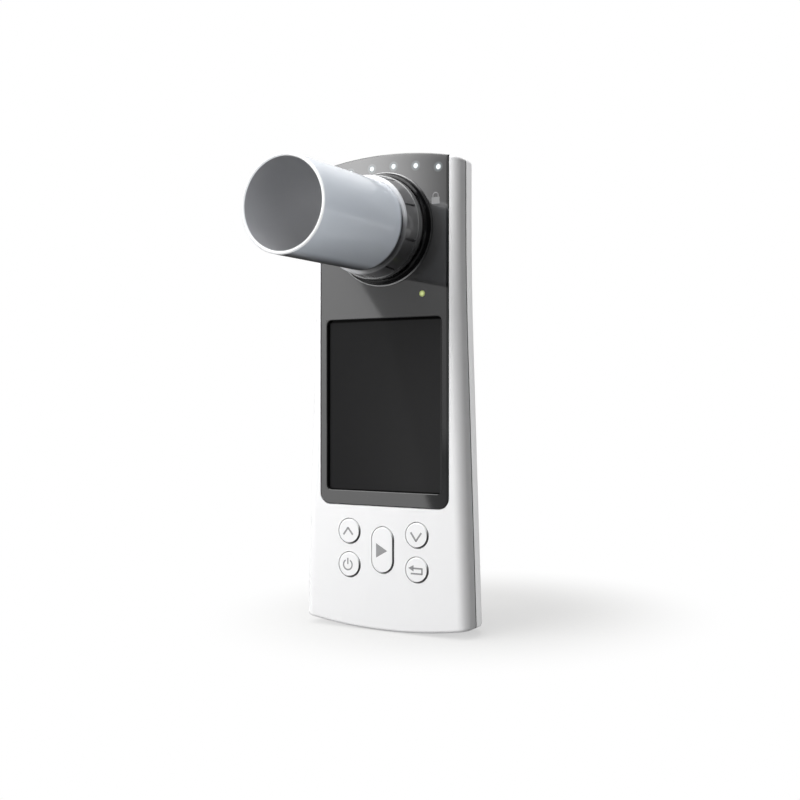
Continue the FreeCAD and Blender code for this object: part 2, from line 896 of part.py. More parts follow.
def bezel_ring():
    body = flow_body("bezel_ring")
    reach = -size("bezel_reach")
    foot = -size("bezel_foot_height")
    revolve(body, "bezel_section", [
        (as_size(0), size("bezel_radius")),
        (foot + size("bezel_land"), size("bezel_radius")),
        (foot, size("bezel_radius") - size("bezel_land")),
        (foot, size("bezel_wall_radius")),
        (reach + size("bezel_land"), size("bezel_crown_radius")),
        (reach, size("bezel_crown_radius") - size("bezel_land")),
        (reach, size("bezel_bore") + size("bezel_land") / 2),
        (reach + size("bezel_land"), size("bezel_bore")),
        (size("panel_thickness"), size("bezel_bore")),
        (size("panel_thickness"), size("spigot_radius")),
        (as_size(0), size("spigot_radius"))])
    return body


def sensor_socket():
    # The sleeve in the case that the turbine plugs into, with two bayonet tracks.
    body = flow_body("sensor_socket")
    front = size("panel_thickness")
    flange_back = wall_back + size("flange_thickness")
    end = rear_inside - size("seat_ring_height")
    revolve(body, "socket_section", [
        (front, size("collar_bore")), (front, size("spigot_radius")),
        (wall_back, size("spigot_radius")), (wall_back, size("flange_radius")),
        (flange_back, size("flange_radius")), (flange_back, size("spigot_radius")),
        (size("barrel_depth"), size("spigot_radius")),
        (size("barrel_depth"), socket_bore + size("barrel_wall")),
        (end, socket_bore + size("barrel_wall")), (end, socket_bore),
        (size("collar_depth") + size("axial_gap"), socket_bore),
        (size("collar_depth") + size("axial_gap"), size("collar_bore"))])
    bayonet_tracks(body)
    seal_groove(body)
    sensor_holes(body)
    return body


def bayonet_tracks(body):
    # Each track is a way in along the axis and a way round to the stop, deeper than the lug is high.
    inner = size("collar_bore") - size("lug_height") / 2
    outer = collar_radius + size("lug_height") + size("lug_clearance")
    start = size("lug_depth") - size("lug_clearance")
    end = size("lug_depth") + size("lug_length") + size("lug_clearance")
    entry_width = size("lug_angle") + 2 * size("stop_angle")
    round_width = entry_width + size("unlock_angle")
    for number, side in enumerate((0, 180)):
        entry = [(as_size(0), inner), (end, inner), (end, outer), (as_size(0), outer)]
        sector(body, "lug_entry_%d" % number, "Groove", entry, side - size("unlock_angle"), entry_width)
        track = [(start, inner), (end, inner), (end, outer), (start, outer)]
        sector(body, "lug_track_%d" % number, "Groove", track, side - size("unlock_angle") / 2, round_width)


def seal_groove(body):
    half = size("seal_radius") + size("stator_clearance")
    outer = socket_bore + 2 * size("seal_radius")
    inner = size("duct_radius")
    start, end = seal_depth - half, seal_depth + half
    sector(body, "seal_groove", "Groove", [(start, inner), (end, inner), (end, outer), (start, outer)],
           as_size(0), as_size(360))


def sensor_holes(body):
    # Left and right windows for the light barrier.
    sketch = body.newObject("Sketcher::SketchObject", "sensor_holes")
    sketch.AttachmentSupport = [(origin_plane(body, "YZ_Plane"), "")]
    sketch.MapMode = "FlatFace"
    draw_circle(sketch, sensor_depth, 0, size("sensor_radius") + size("stator_clearance"))
    feature = body.newObject("PartDesign::Pocket", "sensor_holes_cut")
    feature.Profile = sketch
    feature.Midplane = True
    bind(feature, "Length", 2 * size("flange_radius"))
    doc.recompute()


def duct_seal():
    body = flow_body("duct_seal")
    thick = size("seal_radius")
    inner = socket_bore - size("stator_clearance")
    outer = inner + 2 * thick
    revolve(body, "seal_section", [
        (seal_depth - thick / 2, inner), (seal_depth + thick / 2, inner),
        (seal_depth + thick, inner + thick / 2), (seal_depth + thick, outer),
        (seal_depth - thick, outer), (seal_depth - thick, inner + thick / 2)])
    return body


def light_sensor(label, side):
    # A round infrared part in the socket's wall, with two leads down to the board.
    body = flow_body(label)
    inner = duct_outside + size("axial_gap")
    sketch = body.newObject("Sketcher::SketchObject", label + "_can")
    sketch.AttachmentSupport = [(origin_plane(body, "YZ_Plane"), "")]
    sketch.MapMode = "FlatFace"
    bind(sketch, "AttachmentOffset.Base.z", side * inner)
    draw_circle(sketch, sensor_depth, 0, size("sensor_radius"))
    can = pad(body, sketch, size("sensor_length"), forward=side > 0)
    leads = front_sketch(body, label + "_leads", board_back)
    lead_x = side * (inner + size("sensor_length") - 2 * size("lead_radius"))
    for row in (-1, 1):
        draw_circle(leads, lead_x, row * size("lead_spacing") / 2, size("lead_radius"))
    pad(body, leads, sensor_depth - board_back)
    return body


# Turbine cartridge

def turbine_housing():
    body = flow_body("turbine_housing")
    rim = -size("mouth_reach")
    bore = seat_radius + size("running_clearance")
    lead_in = size("mouthpiece_lip")
    revolve(body, "housing_section", [
        (rim, bore + lead_in), (rim, mouth_radius - lead_in), (rim + lead_in, mouth_radius),
        (-size("grip_shoulder"), shoulder_radius),
        (-size("grip_shoulder"), grip_radius),
        (-size("grip_reach") - lead_in, grip_radius),
        (-size("grip_reach"), grip_radius - lead_in),
        (-size("grip_reach"), mouth_radius),
        (size("panel_thickness") - size("axial_gap"), mouth_radius),
        (size("panel_thickness") - size("axial_gap"), collar_radius),
        (size("collar_depth"), collar_radius), (size("collar_depth"), duct_outside),
        (duct_end, duct_outside), (duct_end, size("duct_radius")),
        (mouth_floor, size("duct_radius")), (mouth_floor, bore), (rim + lead_in, bore)])
    grip_notches(body)
    for number, side in enumerate((0, 180)):
        inner = collar_radius - size("lug_height")
        outer = collar_radius + size("lug_height")
        start, end = size("lug_depth"), size("lug_depth") + size("lug_length")
        sector(body, "lug_%d" % number, "Revolution",
               [(start, inner), (end, inner), (end, outer), (start, outer)], as_size(side), size("lug_angle"))
    return body


def grip_notches(body):
    # Grooves along the grip from the shoulder to the mouth, sunk a little below the mouth's size.
    sketch = front_sketch(body, "grip_notch", -size("grip_shoulder"), 180 / size("notch_count"))
    high = grip_radius + size("notch_depth")
    low = mouth_radius - size("notch_depth")
    draw_rectangle(sketch, (low + high) / 2, as_size(0), high - low, size("notch_width"))
    notch = pocket(body, sketch, size("notch_length"), forward=True)
    ring_pattern(body, "grip_notches", [notch], size("notch_count"))


def stator(label, depth, hand):
    # A rim and a hub joined by twisted vanes that set the breath spinning.
    body = flow_body(label)
    length = size("stator_length")
    rim_outer = size("duct_radius") - size("stator_clearance")
    rim_inner = rim_outer - size("stator_rim")
    rings = front_sketch(body, label + "_rings", depth)
    draw_circle(rings, 0, 0, rim_outer)
    draw_circle(rings, 0, 0, rim_inner)
    pad(body, rings, length)
    hub = front_sketch(body, label + "_hub", depth)
    draw_circle(hub, 0, 0, size("hub_radius"))
    pad(body, hub, length)
    sections = []
    steps = int(size("vane_sections").number)
    for number in range(steps):
        share = number / (size("vane_sections") - 1)
        section = front_sketch(body, "%s_vane_%d" % (label, number), depth + share * length,
                               hand * share * size("vane_twist"))
        start = size("hub_radius") / 2
        end = rim_outer - size("stator_rim") / 2
        draw_rectangle(section, (start + end) / 2, as_size(0), end - start, size("vane_thickness"))
        sections.append(section)
    vane = body.newObject("PartDesign::AdditiveLoft", label + "_vane")
    vane.Profile = sections[0]
    vane.Sections = sections[1:]
    vane.Ruled = True
    doc.recompute()
    ring_pattern(body, label + "_vanes", [vane], size("vane_count"))
    bore = front_sketch(body, label + "_bore", depth)
    draw_circle(bore, 0, 0, size("bearing_radius"))
    pocket(body, bore, length)
    return body


def bearing(label, depth):
    # A bush pressed into the stator's hub, flush with the end that faces the rotor.
    body = flow_body(label)
    sketch = front_sketch(body, label + "_ring", depth)
    draw_circle(sketch, 0, 0, size("bearing_radius"))
    draw_circle(sketch, 0, 0, size("shaft_radius") + size("running_clearance"))
    pad(body, sketch, size("bearing_length"))
    return body


def front_bearing_depth():
    return front_stator_end - size("bearing_length")


def rotor_shaft():
    body = flow_body("rotor_shaft")
    start = front_bearing_depth()
    end = rear_stator_depth + size("bearing_length")
    sketch = front_sketch(body, "shaft_round", start)
    draw_circle(sketch, 0, 0, size("shaft_radius"))
    pad(body, sketch, end - start)
    tip = size("shaft_radius") / 2

    def at_end(point, middle):
        return near(point.y, start.number) or near(point.y, end.number)

    bevel_edges(body, "shaft_points", tip, at_end)
    return body


def rotor_vane():
    # A thin two-armed blade on a hub, whose tips cut the light barrier.
    body = flow_body("rotor_vane")
    start = rotor_start
    blade = body.newObject("Sketcher::SketchObject", "blade_outline")
    blade.AttachmentSupport = [(origin_plane(body, "YZ_Plane"), "")]
    blade.MapMode = "FlatFace"
    draw_rounded(blade, start + rotor_length / 2, as_size(0), rotor_length,
                 2 * size("rotor_radius"), size("rotor_corner"))
    feature = body.newObject("PartDesign::Pad", "blade")
    feature.Profile = blade
    feature.Midplane = True
    bind(feature, "Length", size("rotor_thickness"))
    doc.recompute()
    hub = front_sketch(body, "rotor_hub", start)
    draw_circle(hub, 0, 0, size("rotor_hub_radius"))
    pad(body, hub, rotor_length)
    bore = front_sketch(body, "rotor_bore", start)
    draw_circle(bore, 0, 0, size("shaft_radius"))
    pocket(body, bore, rotor_length)
    return body


def mouthpiece():
    body = flow_body("mouthpiece")
    outer = size("mouthpiece_radius")
    inner = outer - size("mouthpiece_wall")
    rim = -size("mouthpiece_reach")
    lip = size("mouthpiece_lip")
    step = -size("mouth_reach") - size("mouthpiece_step_gap")
    end = mouth_floor - size("axial_gap")
    revolve(body, "mouthpiece_section", [
        (rim, inner + lip), (rim, outer - lip), (rim + lip, outer), (step, outer), (step, seat_radius),
        (end - lip, seat_radius), (end, seat_radius - lip), (end, inner), (rim + lip, inner)])
    return body


# Buttons

def button_back():
    return wall_back + size("button_flange_gap") + size("button_flange_thickness")


def stem_end():
    return size("board_depth") - size("switch_height") - size("plunger_height") - size("button_travel_gap")


def button(label, x, z, length=None):
    # A cap with a flange behind the wall and a stem that meets its switch. With a length it is a capsule.
    body = new_body(label, x, z)
    proud = size("button_proud")
    cap = front_sketch(body, label + "_cap", -proud)
    flange = front_sketch(body, label + "_flange", wall_back + size("button_flange_gap"))
    wide = size("button_radius") + size("button_flange")
    if length is None:
        draw_circle(cap, 0, 0, size("button_radius"))
        draw_circle(flange, 0, 0, wide)
    else:
        draw_capsule(cap, as_size(0), as_size(0), size("button_radius"), length)
        draw_capsule(flange, as_size(0), as_size(0), wide, length + 2 * size("button_flange"))
    pad(body, cap, proud + button_back())
    pad(body, flange, size("button_flange_thickness"))
    stem = front_sketch(body, label + "_stem", button_back())
    draw_circle(stem, 0, 0, size("button_stem_radius"))
    pad(body, stem, stem_end() - button_back())
    front = -proud.number
    bevel_edges(body, label + "_edge", size("button_edge"), lambda point, middle: near(point.y, front))
    return body


def button_switches():
    body = new_body("button_switches")
    places = list(button_places().values()) + [(as_size(0), size("start_height"))]
    cases = front_sketch(body, "switch_cases", size("board_depth") - size("switch_height"))
    plungers = front_sketch(body, "switch_plungers",
                            size("board_depth") - size("switch_height") - size("plunger_height"))
    for x, z in places:
        draw_rectangle(cases, x, z, size("switch_width"), size("switch_width"))
        draw_circle(plungers, x, z, size("plunger_radius"))
    pad(body, cases, size("switch_height"))
    pad(body, plungers, size("plunger_height"))
    return body


# Electronics

def main_board():
    body = new_body("main_board")
    inset = size("wall") + size("board_clearance")
    sketch = case_sketch(body, "board_outline", size("board_depth"), inset)
    draw_circle(sketch, 0, flow_height, size("spigot_radius") + size("board_hole_clearance"))
    for x, z in screw_places():
        draw_circle(sketch, x, z, size("boss_tip_radius") + size("boss_tip_clearance"))
    pad(body, sketch, size("board_thickness"))
    return body


def chips(label, places):
    # Small light-emitting chips on the front of the board.
    body = new_body(label)
    sketch = front_sketch(body, label + "_chips", size("board_depth") - size("led_height"))
    for x, z in places:
        draw_rectangle(sketch, as_size(x), z, size("led_width"), size("led_width"))
    pad(body, sketch, size("led_height"))
    return body


def light_guides(label, places, radius):
    # Clear rods that bring the light to the panel's face, held by a collar behind the wall.
    body = new_body(label)
    end = size("board_depth") - size("led_height") - size("guide_gap")
    rods = front_sketch(body, label + "_rods")
    collars = front_sketch(body, label + "_collars", wall_back)
    for x, z in places:
        draw_circle(rods, x, z, radius)
        draw_circle(collars, x, z, radius + size("guide_collar"))
    pad(body, rods, end)
    pad(body, collars, size("guide_radius"))
    return body


def battery():
    body = new_body("battery")
    sketch = front_sketch(body, "battery_outline", rear_inside - size("battery_thickness"))
    draw_rounded(sketch, as_size(0), window_centre - size("battery_drop"), size("battery_width"),
                 window_height - 2 * size("battery_end"), size("battery_corner"))
    pad(body, sketch, size("battery_thickness"))
    return body


def shield_can():
    body = new_body("shield_can")
    sketch = front_sketch(body, "shield_outline", board_back)
    draw_rounded(sketch, as_size(0), size("shield_centre"), size("shield_width"), size("shield_height"),
                 size("battery_corner"))
    pad(body, sketch, size("shield_thickness"))
    return body


def buzzer():
    body = new_body("buzzer", -size("buzzer_column"), size("buzzer_row"))
    sketch = front_sketch(body, "buzzer_round", board_back)
    draw_circle(sketch, 0, 0, size("buzzer_radius"))
    pad(body, sketch, size("buzzer_thickness"))
    return body


def usb_socket():
    # A flat metal shell, open downwards, on the back of the board.
    body = new_body("usb_socket")
    shell = body.newObject("Sketcher::SketchObject", "port_shell")
    shell.AttachmentSupport = [(origin_plane(body, "XY_Plane"), "")]
    shell.MapMode = "FlatFace"
    bind(shell, "AttachmentOffset.Base.z", size("port_start"))
    round_share = size("port_round_share")
    draw_rounded(shell, as_size(0), port_centre_depth(), size("port_width"), size("port_height"),
                 size("port_height") * round_share)
    pad(body, shell, size("port_length"), forward=True)
    cavity = body.newObject("Sketcher::SketchObject", "port_cavity")
    cavity.AttachmentSupport = [(origin_plane(body, "XY_Plane"), "")]
    cavity.MapMode = "FlatFace"
    bind(cavity, "AttachmentOffset.Base.z", size("port_start"))
    thinner = 2 * size("port_wall")
    draw_rounded(cavity, as_size(0), port_centre_depth(), size("port_width") - thinner,
                 size("port_height") - thinner, (size("port_height") - thinner) * round_share)
    pocket(body, cavity, size("port_length") - size("port_height") / 2, forward=True)
    return body


def case_screws():
    body = new_body("case_screws")
    heads = front_sketch(body, "screw_heads", size("screw_seat_depth"))
    shanks = front_sketch(body, "screw_shanks", size("screw_seat_depth"))
    for x, z in screw_places():
        draw_circle(heads, x, z, size("screw_head_radius"))
        draw_circle(shanks, x, z, size("screw_radius"))
    pad(body, heads, size("screw_head_height"))
    pad(body, shanks, size("screw_length"), forward=True)
    return body


# Assembly

front_cover()
rear_cover()
front_panel()
display_glass()
display_module()
bezel_ring()
sensor_socket()
duct_seal()
light_sensor("infrared_emitter", 1)
light_sensor("infrared_detector", -1)
turbine_housing()
stator("front_stator", size("front_stator_depth"), 1)
stator("rear_stator", rear_stator_depth, -1)
bearing("front_bearing", front_bearing_depth())
bearing("rear_bearing", rear_stator_depth)
rotor_shaft()
rotor_vane()
mouthpiece()
for label, (x, z) in button_places().items():
    button(label, x, z)
button("start_button", 0, size("start_height"), size("start_length"))
button_switches()
main_board()
chips("level_leds", led_places())
light_guides("level_light_guides", led_places(), size("guide_radius"))
chips("status_led", [status_place()])
light_guides("status_light_guide", [status_place()], size("status_radius"))
battery()
shield_can()
buzzer()
usb_socket()
case_screws()
doc.recompute()

# Nothing is written unless every object is sound
for item in doc.Objects:
    if "Invalid" in item.State or "Error" in item.State:
        raise ValueError("%s failed: %s" % (item.Name, item.State))
for piece in pieces:
    if piece.Shape.isNull() or not piece.Shape.isValid():
        raise ValueError(piece.Label + " has no valid shape")

os.makedirs("parts", exist_ok=True)
for piece in pieces:
    piece.Shape.exportStep("parts/%s.step" % piece.Label)
    print("%s: %d solids, %.1f mm3" % (piece.Label, len(piece.Shape.Solids), piece.Shape.Volume))
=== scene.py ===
# A turbine spirometer, standing on a white studio floor.
import math

import bmesh
import bpy
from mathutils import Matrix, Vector


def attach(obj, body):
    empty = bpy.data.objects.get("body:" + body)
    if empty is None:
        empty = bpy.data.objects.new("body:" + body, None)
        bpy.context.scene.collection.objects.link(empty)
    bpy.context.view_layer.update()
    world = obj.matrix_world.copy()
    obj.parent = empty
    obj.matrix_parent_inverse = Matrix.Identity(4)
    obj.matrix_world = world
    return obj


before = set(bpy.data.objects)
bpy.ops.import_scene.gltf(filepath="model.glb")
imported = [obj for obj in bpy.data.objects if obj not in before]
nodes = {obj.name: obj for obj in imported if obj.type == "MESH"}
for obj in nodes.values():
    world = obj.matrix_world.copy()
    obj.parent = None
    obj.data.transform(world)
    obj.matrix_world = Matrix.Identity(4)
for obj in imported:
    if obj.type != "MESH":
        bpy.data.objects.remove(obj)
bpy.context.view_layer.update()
mm = 0.001
faceY = 18.55                       # the panel's outer face, in mm
mouthY = faceY - 12.4               # the turbine housing's mouth
tubeEndY = faceY - 58.2             # the tube's outer end
flowZ = 135.7                       # the breath tube's axis
windowZ = 76.4                      # the middle of the display's window
print("frame loaded with", len(nodes), "nodes")


# The camera stands low, in front and to the right
shot = {
    "place": (0.1909, -0.30505, 0.0781),
    "tilt": 90,                     # level
    "turn": 29.64,                  # degrees to the left of straight on
    "lens": 50,
    "nearest": 0.01,
}
cameraData = bpy.data.cameras.new("photoCamera")
cameraData.lens = shot["lens"]
cameraData.clip_start = shot["nearest"]
camera = bpy.data.objects.new("photoCamera", cameraData)
camera.location = shot["place"]
camera.rotation_euler = (math.radians(shot["tilt"]), 0, math.radians(shot["turn"]))
bpy.context.scene.collection.objects.link(camera)
bpy.context.scene.camera = camera
bpy.context.scene.view_settings.view_transform = "Standard"
print("camera placed")


# One output of a node, so that sums read like sums
class Wire:
    def __init__(self, finish, socket):
        self.finish = finish
        self.socket = socket

    def __add__(self, other):
        return self.finish.compute("ADD", self, other)

    def __radd__(self, other):
        return self.finish.compute("ADD", other, self)

    def __sub__(self, other):
        return self.finish.compute("SUBTRACT", self, other)

    def __rsub__(self, other):
        return self.finish.compute("SUBTRACT", other, self)

    def __mul__(self, other):
        return self.finish.compute("MULTIPLY", self, other)

    def __rmul__(self, other):
        return self.finish.compute("MULTIPLY", other, self)

    def __truediv__(self, other):
        return self.finish.compute("DIVIDE", self, other)

    def __rtruediv__(self, other):
        return self.finish.compute("DIVIDE", other, self)


# The level lamps lie on an arc under the crown
lampRow = {
    "pitch": 8.5,
    "count": 6,
    "crownTop": 160.95,
    "crownRadius": 125.0,
    "inset": 4.247,                 # from the crown towards its centre
}


# A material that is built node by node
class Finish:
    def __init__(self, name, tree=None):
        self.material = None
        if tree is None:
            self.material = bpy.data.materials.new(name)
            self.material.use_nodes = True
            tree = self.material.node_tree
        self.tree = tree
        self.tree.nodes.clear()

    def node(self, kind, settings, sockets, output=0):
        made = self.tree.nodes.new(kind)
        for key, value in settings.items():
            setattr(made, key, value)
        for key, value in sockets.items():
            if isinstance(value, Wire):
                self.tree.links.new(value.socket, made.inputs[key])
            else:
                made.inputs[key].default_value = value
        return Wire(self, made.outputs[output] if len(made.outputs) else None)

    def compute(self, operation, *values):
        return self.node("ShaderNodeMath", {"operation": operation}, dict(enumerate(values)))

    def vectors(self, operation, *values, output="Vector"):
        return self.node("ShaderNodeVectorMath", {"operation": operation}, dict(enumerate(values)), output)

    def tint(self, factor, first, second):          # sockets 6 and 7 take the Mix node's colours
        return self.node("ShaderNodeMix", {"data_type": "RGBA"}, {0: factor, 6: first, 7: second}, 2)

    def mottled(self, mask, colour, low, high):     # the colour times low to the colour times high
        return self.tint(mask, scaled(colour, low), scaled(colour, high))

    def ease(self, value, low, high, start=0.0, end=1.0):
        sockets = dict(enumerate((value, low, high, start, end)))
        return self.node("ShaderNodeMapRange", {"interpolation_type": "SMOOTHSTEP"}, sockets)

    def past(self, value, border, blur):            # 1 past a border and 0 before it
        return self.ease(value, border, border + blur)

    def before(self, value, border, blur):          # 1 before a border and 0 past it
        return self.ease(value, border, border + blur, 1, 0)

    def swing(self, mask, reach):                   # a mask's ups and downs about its middle
        return (mask - 0.5) * reach

    def distance(self, aside, rise):
        return self.compute("SQRT", aside * aside + rise * rise)

    def spot(self, scale=(1000, 1000, 1000)):       # the place on the piece, in mm
        coordinates = self.node("ShaderNodeTexCoord", {}, {}, "Object")
        return self.vectors("MULTIPLY", coordinates, scale)

    def along(self, axis):                          # one coordinate of that place
        return self.node("ShaderNodeSeparateXYZ", {}, {0: self.spot()}, axis)

    def noise(self, scale, detail, stretch=(1000, 1000, 1000)):
        sockets = {"Vector": self.spot(stretch), "Scale": scale, "Detail": detail}
        return self.node("ShaderNodeTexNoise", {}, sockets)

    def cells(self, scale):
        return self.node("ShaderNodeTexVoronoi", {}, {"Vector": self.spot(), "Scale": scale})

    def fromFlow(self):                             # the distance from the breath tube's axis
        place = self.vectors("SUBTRACT", self.spot(), (0, 0, flowZ))
        across = self.vectors("MULTIPLY", place, (1, 0, 1))
        return self.vectors("LENGTH", across, output="Value")

    def toLowerRight(self):                         # 1.41 at that axis' lower right, 0 square to it
        return (self.along("X") - self.along("Z") + flowZ) / self.fromFlow()

    def edges(self, low=0.52, high=0.6):            # 1 where the piece has a sharp outer edge
        return self.ease(self.node("ShaderNodeNewGeometry", {}, {}, "Pointiness"), low, high)

    def ray(self, kind):                            # 1 for one kind of ray
        return self.node("ShaderNodeLightPath", {}, {}, kind)

    def lampGlow(self, core, edge):                 # 1 at the middle of a level lamp, 0 past the edge
        outermost = (lampRow["count"] - 1) / 2 * lampRow["pitch"]
        radius = lampRow["crownRadius"] - lampRow["inset"]
        x = self.along("X")
        column = self.compute("FLOOR", x / lampRow["pitch"])
        middle = (column + 0.5) * lampRow["pitch"]
        middle = self.compute("MINIMUM", middle, outermost)
        middle = self.compute("MAXIMUM", middle, -outermost)
        arc = self.compute("SQRT", radius ** 2 - middle * middle)
        level = lampRow["crownTop"] - lampRow["crownRadius"] + arc
        away = self.distance(x - middle, self.along("Z") - level)
        return self.ease(away, core, edge, 1, 0)

    def bump(self, height, depth):                  # depth in mm
        return self.node("ShaderNodeBump", {}, {"Height": height, "Distance": depth * mm})

    def surface(self, sockets):
        shader = self.node("ShaderNodeBsdfPrincipled", {}, sockets)
        self.node("ShaderNodeOutputMaterial", {}, {"Surface": shader})
        return self.material


def rgb(red, green, blue):
    return (red, green, blue, 1.0)


def scaled(colour, factor):
    return rgb(*(min(1.0, part * factor) for part in colour[:3]))


def dress(nodeName, material):                      # a CAD node takes the finish as it is
    for slot in nodes[nodeName].material_slots:
        slot.material = material


# Moulded plastic: a spark-eroded grain, faint flow marks, handled edges, and any tones for parts of it
def mouldedPlastic(name, look, tones=()):
    finish = Finish(name)
    cloud = finish.noise(look["cloudScale"], detail=4)
    rub = finish.noise(look["rubScale"], detail=5, stretch=look["rubWay"])
    grain = finish.noise(look["grainScale"], detail=2)
    worn = finish.edges() * finish.ease(rub, *look["rubbed"])
    colour = finish.mottled(cloud, look["colour"], 1 - look["vary"], 1 + look["vary"])
    colour = finish.tint(worn * look["wear"], colour, look["wornColour"])
    for tone, toneLook in tones:
        colour = tone(finish, colour, toneLook)
    return finish.surface({
        "Base Color": colour,
        "Roughness": look["roughness"] + finish.swing(rub, look["roughVary"]) - worn * look["polish"],
        "Specular IOR Level": look["specular"],
        "Normal": finish.bump(grain + cloud * look["cloudLift"], look["grainDepth"]),
    })


def partingShade(finish, colour, look):              # painted shade in the groove between the two covers
    across = finish.compute("ABSOLUTE", finish.along("Y") - look["depth"])
    return finish.tint(finish.before(across, look["half"], look["blur"]), colour, look["colour"])


def windowWell(finish, colour, look):               # the walls of the cut-out behind the window
    besides = finish.compute("ABSOLUTE", finish.along("X")) - look["halfWidth"]
    above = finish.compute("ABSOLUTE", finish.along("Z") - windowZ) - look["halfHeight"]
    well = finish.before(finish.compute("MAXIMUM", besides, above), -look["blur"], look["blur"])
    well = well * finish.before(finish.along("Y"), look["depth"], look["depthBlur"])
    return finish.tint(well, colour, look["colour"])


def trimHighlight(finish, colour, look):                 # a painted highlight on the ring's outer edge, darker towards the right
    radius = finish.fromFlow()
    trim = finish.past(radius, look["radius"], look["blur"])
    lit = finish.ease(finish.along("X") / radius, *look["shade"], 1, look["shadeShare"])
    return finish.tint(trim * lit, colour, look["colour"])


def paintedFlankShade(finish, colour, look):                # painted shade on the sides that face one way
    normal = finish.node("ShaderNodeNewGeometry", {}, {}, "Normal")
    facing = finish.vectors("DOT_PRODUCT", normal, look["way"], output="Value")
    return finish.tint(finish.ease(facing, *look["facing"]), colour, look["colour"])


caseLook = {
    "colour": rgb(0.85, 0.85, 0.855),
    "vary": 0.012,
    "cloudScale": 0.03,
    "cloudLift": 0.4,
    "rubScale": 0.12,
    "rubWay": (1000, 1000, 240),
    "rubbed": (0.42, 0.62),
    "grainScale": 4.0,
    "grainDepth": 0.006,
    "roughness": 0.42,
    "roughVary": 0.08,
    "polish": 0.08,                 # how much smoother a worn edge is
    "specular": 0.5,
    "wear": 0.25,
    "wornColour": rgb(0.88, 0.88, 0.885),
}
# Painted shade darkens the groove at the parting line
seamShadeLook = {
    "depth": faceY + 6.9,
    "half": 0.28,
    "blur": 0.05,
    "colour": rgb(0.05, 0.05, 0.05),
}
wellLook = {
    "halfWidth": 23.6,
    "halfHeight": 30.6,
    "blur": 0.1,
    "depth": faceY + 5,
    "depthBlur": 0.5,
    "colour": rgb(0.01, 0.01, 0.01),
}
casePlastic = mouldedPlastic("caseWhite", caseLook, [(partingShade, seamShadeLook), (windowWell, wellLook)])
dress("front_cover", casePlastic)
dress("rear_cover", casePlastic)

buttonLook = dict(caseLook, colour=rgb(0.87, 0.87, 0.875), roughness=0.36, rubScale=0.4)
# Painted shade on the buttons' flanks that face the lower right
flankShadeLook = {
    "way": (0.8, 0.0, -0.6),        # the lower right
    "facing": (0.2, 0.6),
    "colour": rgb(0.05, 0.05, 0.052),
}
buttonPlastic = mouldedPlastic("buttonWhite", buttonLook, [(paintedFlankShade, flankShadeLook)])
for nodeName in ("up_button", "down_button", "power_button", "return_button", "start_button"):
    dress(nodeName, buttonPlastic)

bezelLook = dict(
    caseLook,
    colour=rgb(0.003, 0.003, 0.0035),
    vary=0.1,
    cloudScale=0.05,
    rubScale=0.2,
    grainScale=1.5,
    grainDepth=0.0004,
    roughness=0.12,
    roughVary=0.02,
    specular=0.2,
    wear=0.3,
    wornColour=rgb(0.15, 0.15, 0.15),
)
# A painted highlight along the bezel's outer edge
trimHighlightLook = {
    "radius": 18.85,
    "blur": 0.1,
    "shade": (0.35, 0.85),
    "shadeShare": 0.06,
    "colour": rgb(0.5, 0.5, 0.505),
}
dress("bezel_ring", mouldedPlastic("bezelBlack", bezelLook, [(trimHighlight, trimHighlightLook)]))

innerLook = dict(bezelLook, colour=rgb(0.012, 0.012, 0.012), roughness=0.5, grainDepth=0.01)
innerPlastic = mouldedPlastic("innerBlack", innerLook)
for nodeName in ("sensor_socket", "display_module", "button_switches", "buzzer", "rotor_vane"):
    dress(nodeName, innerPlastic)

rubberLook = dict(innerLook, colour=rgb(0.02, 0.02, 0.021), roughness=0.75)
dress("duct_seal", mouldedPlastic("sealRubber", rubberLook))

sensorLook = dict(bezelLook, colour=rgb(0.03, 0.01, 0.03))
sensorLens = mouldedPlastic("sensorLens", sensorLook)
dress("infrared_emitter", sensorLens)
dress("infrared_detector", sensorLens)

statorLook = dict(bezelLook, colour=rgb(0.3, 0.32, 0.34), vary=0.05, roughness=0.15)
statorLook["wornColour"] = rgb(0.6, 0.6, 0.6)
statorPlastic = mouldedPlastic("statorClear", statorLook)
dress("front_stator", statorPlastic)
dress("rear_stator", statorPlastic)

boardLook = dict(innerLook, colour=rgb(0.01, 0.09, 0.035), vary=0.2, roughness=0.35)
boardLook["wornColour"] = rgb(0.3, 0.2, 0.08)
dress("main_board", mouldedPlastic("boardGreen", boardLook))
print("moulded plastics done")


# The turbine's smoke-grey housing: a painted highlight on the mouth rim that gives way to painted shade
# at its lower right, and a darker grip with painted shade over its lower right and paler worn edges
def housingPlastic(name, look):
    finish = Finish(name)
    cloud = finish.noise(look["cloudScale"], detail=4)
    rub = finish.noise(look["rubScale"], detail=5)
    # A painted highlight on the mouth rim, giving way to painted shade at the rim's lower right
    rim = finish.before(finish.along("Y"), look["rimDepth"], look["rimBlur"])
    toLowerRight = finish.toLowerRight()
    lit = finish.ease(toLowerRight, *look["rimShade"], 1, look["rimShadeShare"])
    worn = finish.edges() * finish.ease(rub, *look["rubbed"])
    colour = finish.mottled(cloud, look["colour"], 1 - look["vary"], 1 + look["vary"])
    colour = finish.tint(worn * look["wear"], colour, look["wornColour"])
    # Painted shade over the grip's lower right
    gripShade = finish.ease(toLowerRight, *look["gripShade"])
    colour = finish.tint(gripShade, colour, look["gripShadeColour"])
    colour = finish.tint(rim * lit, colour, look["rimColour"])
    return finish.surface({
        "Base Color": colour,
        "Roughness": look["roughness"] + finish.swing(rub, look["roughVary"]),
        "Specular IOR Level": look["specular"],
        "Coat Weight": look["coat"] * (1 - gripShade * look["gripShadeCoatLoss"]),
        "Coat Roughness": look["coatRoughness"],
        "Normal": finish.bump(rub, look["grainDepth"]),
    })


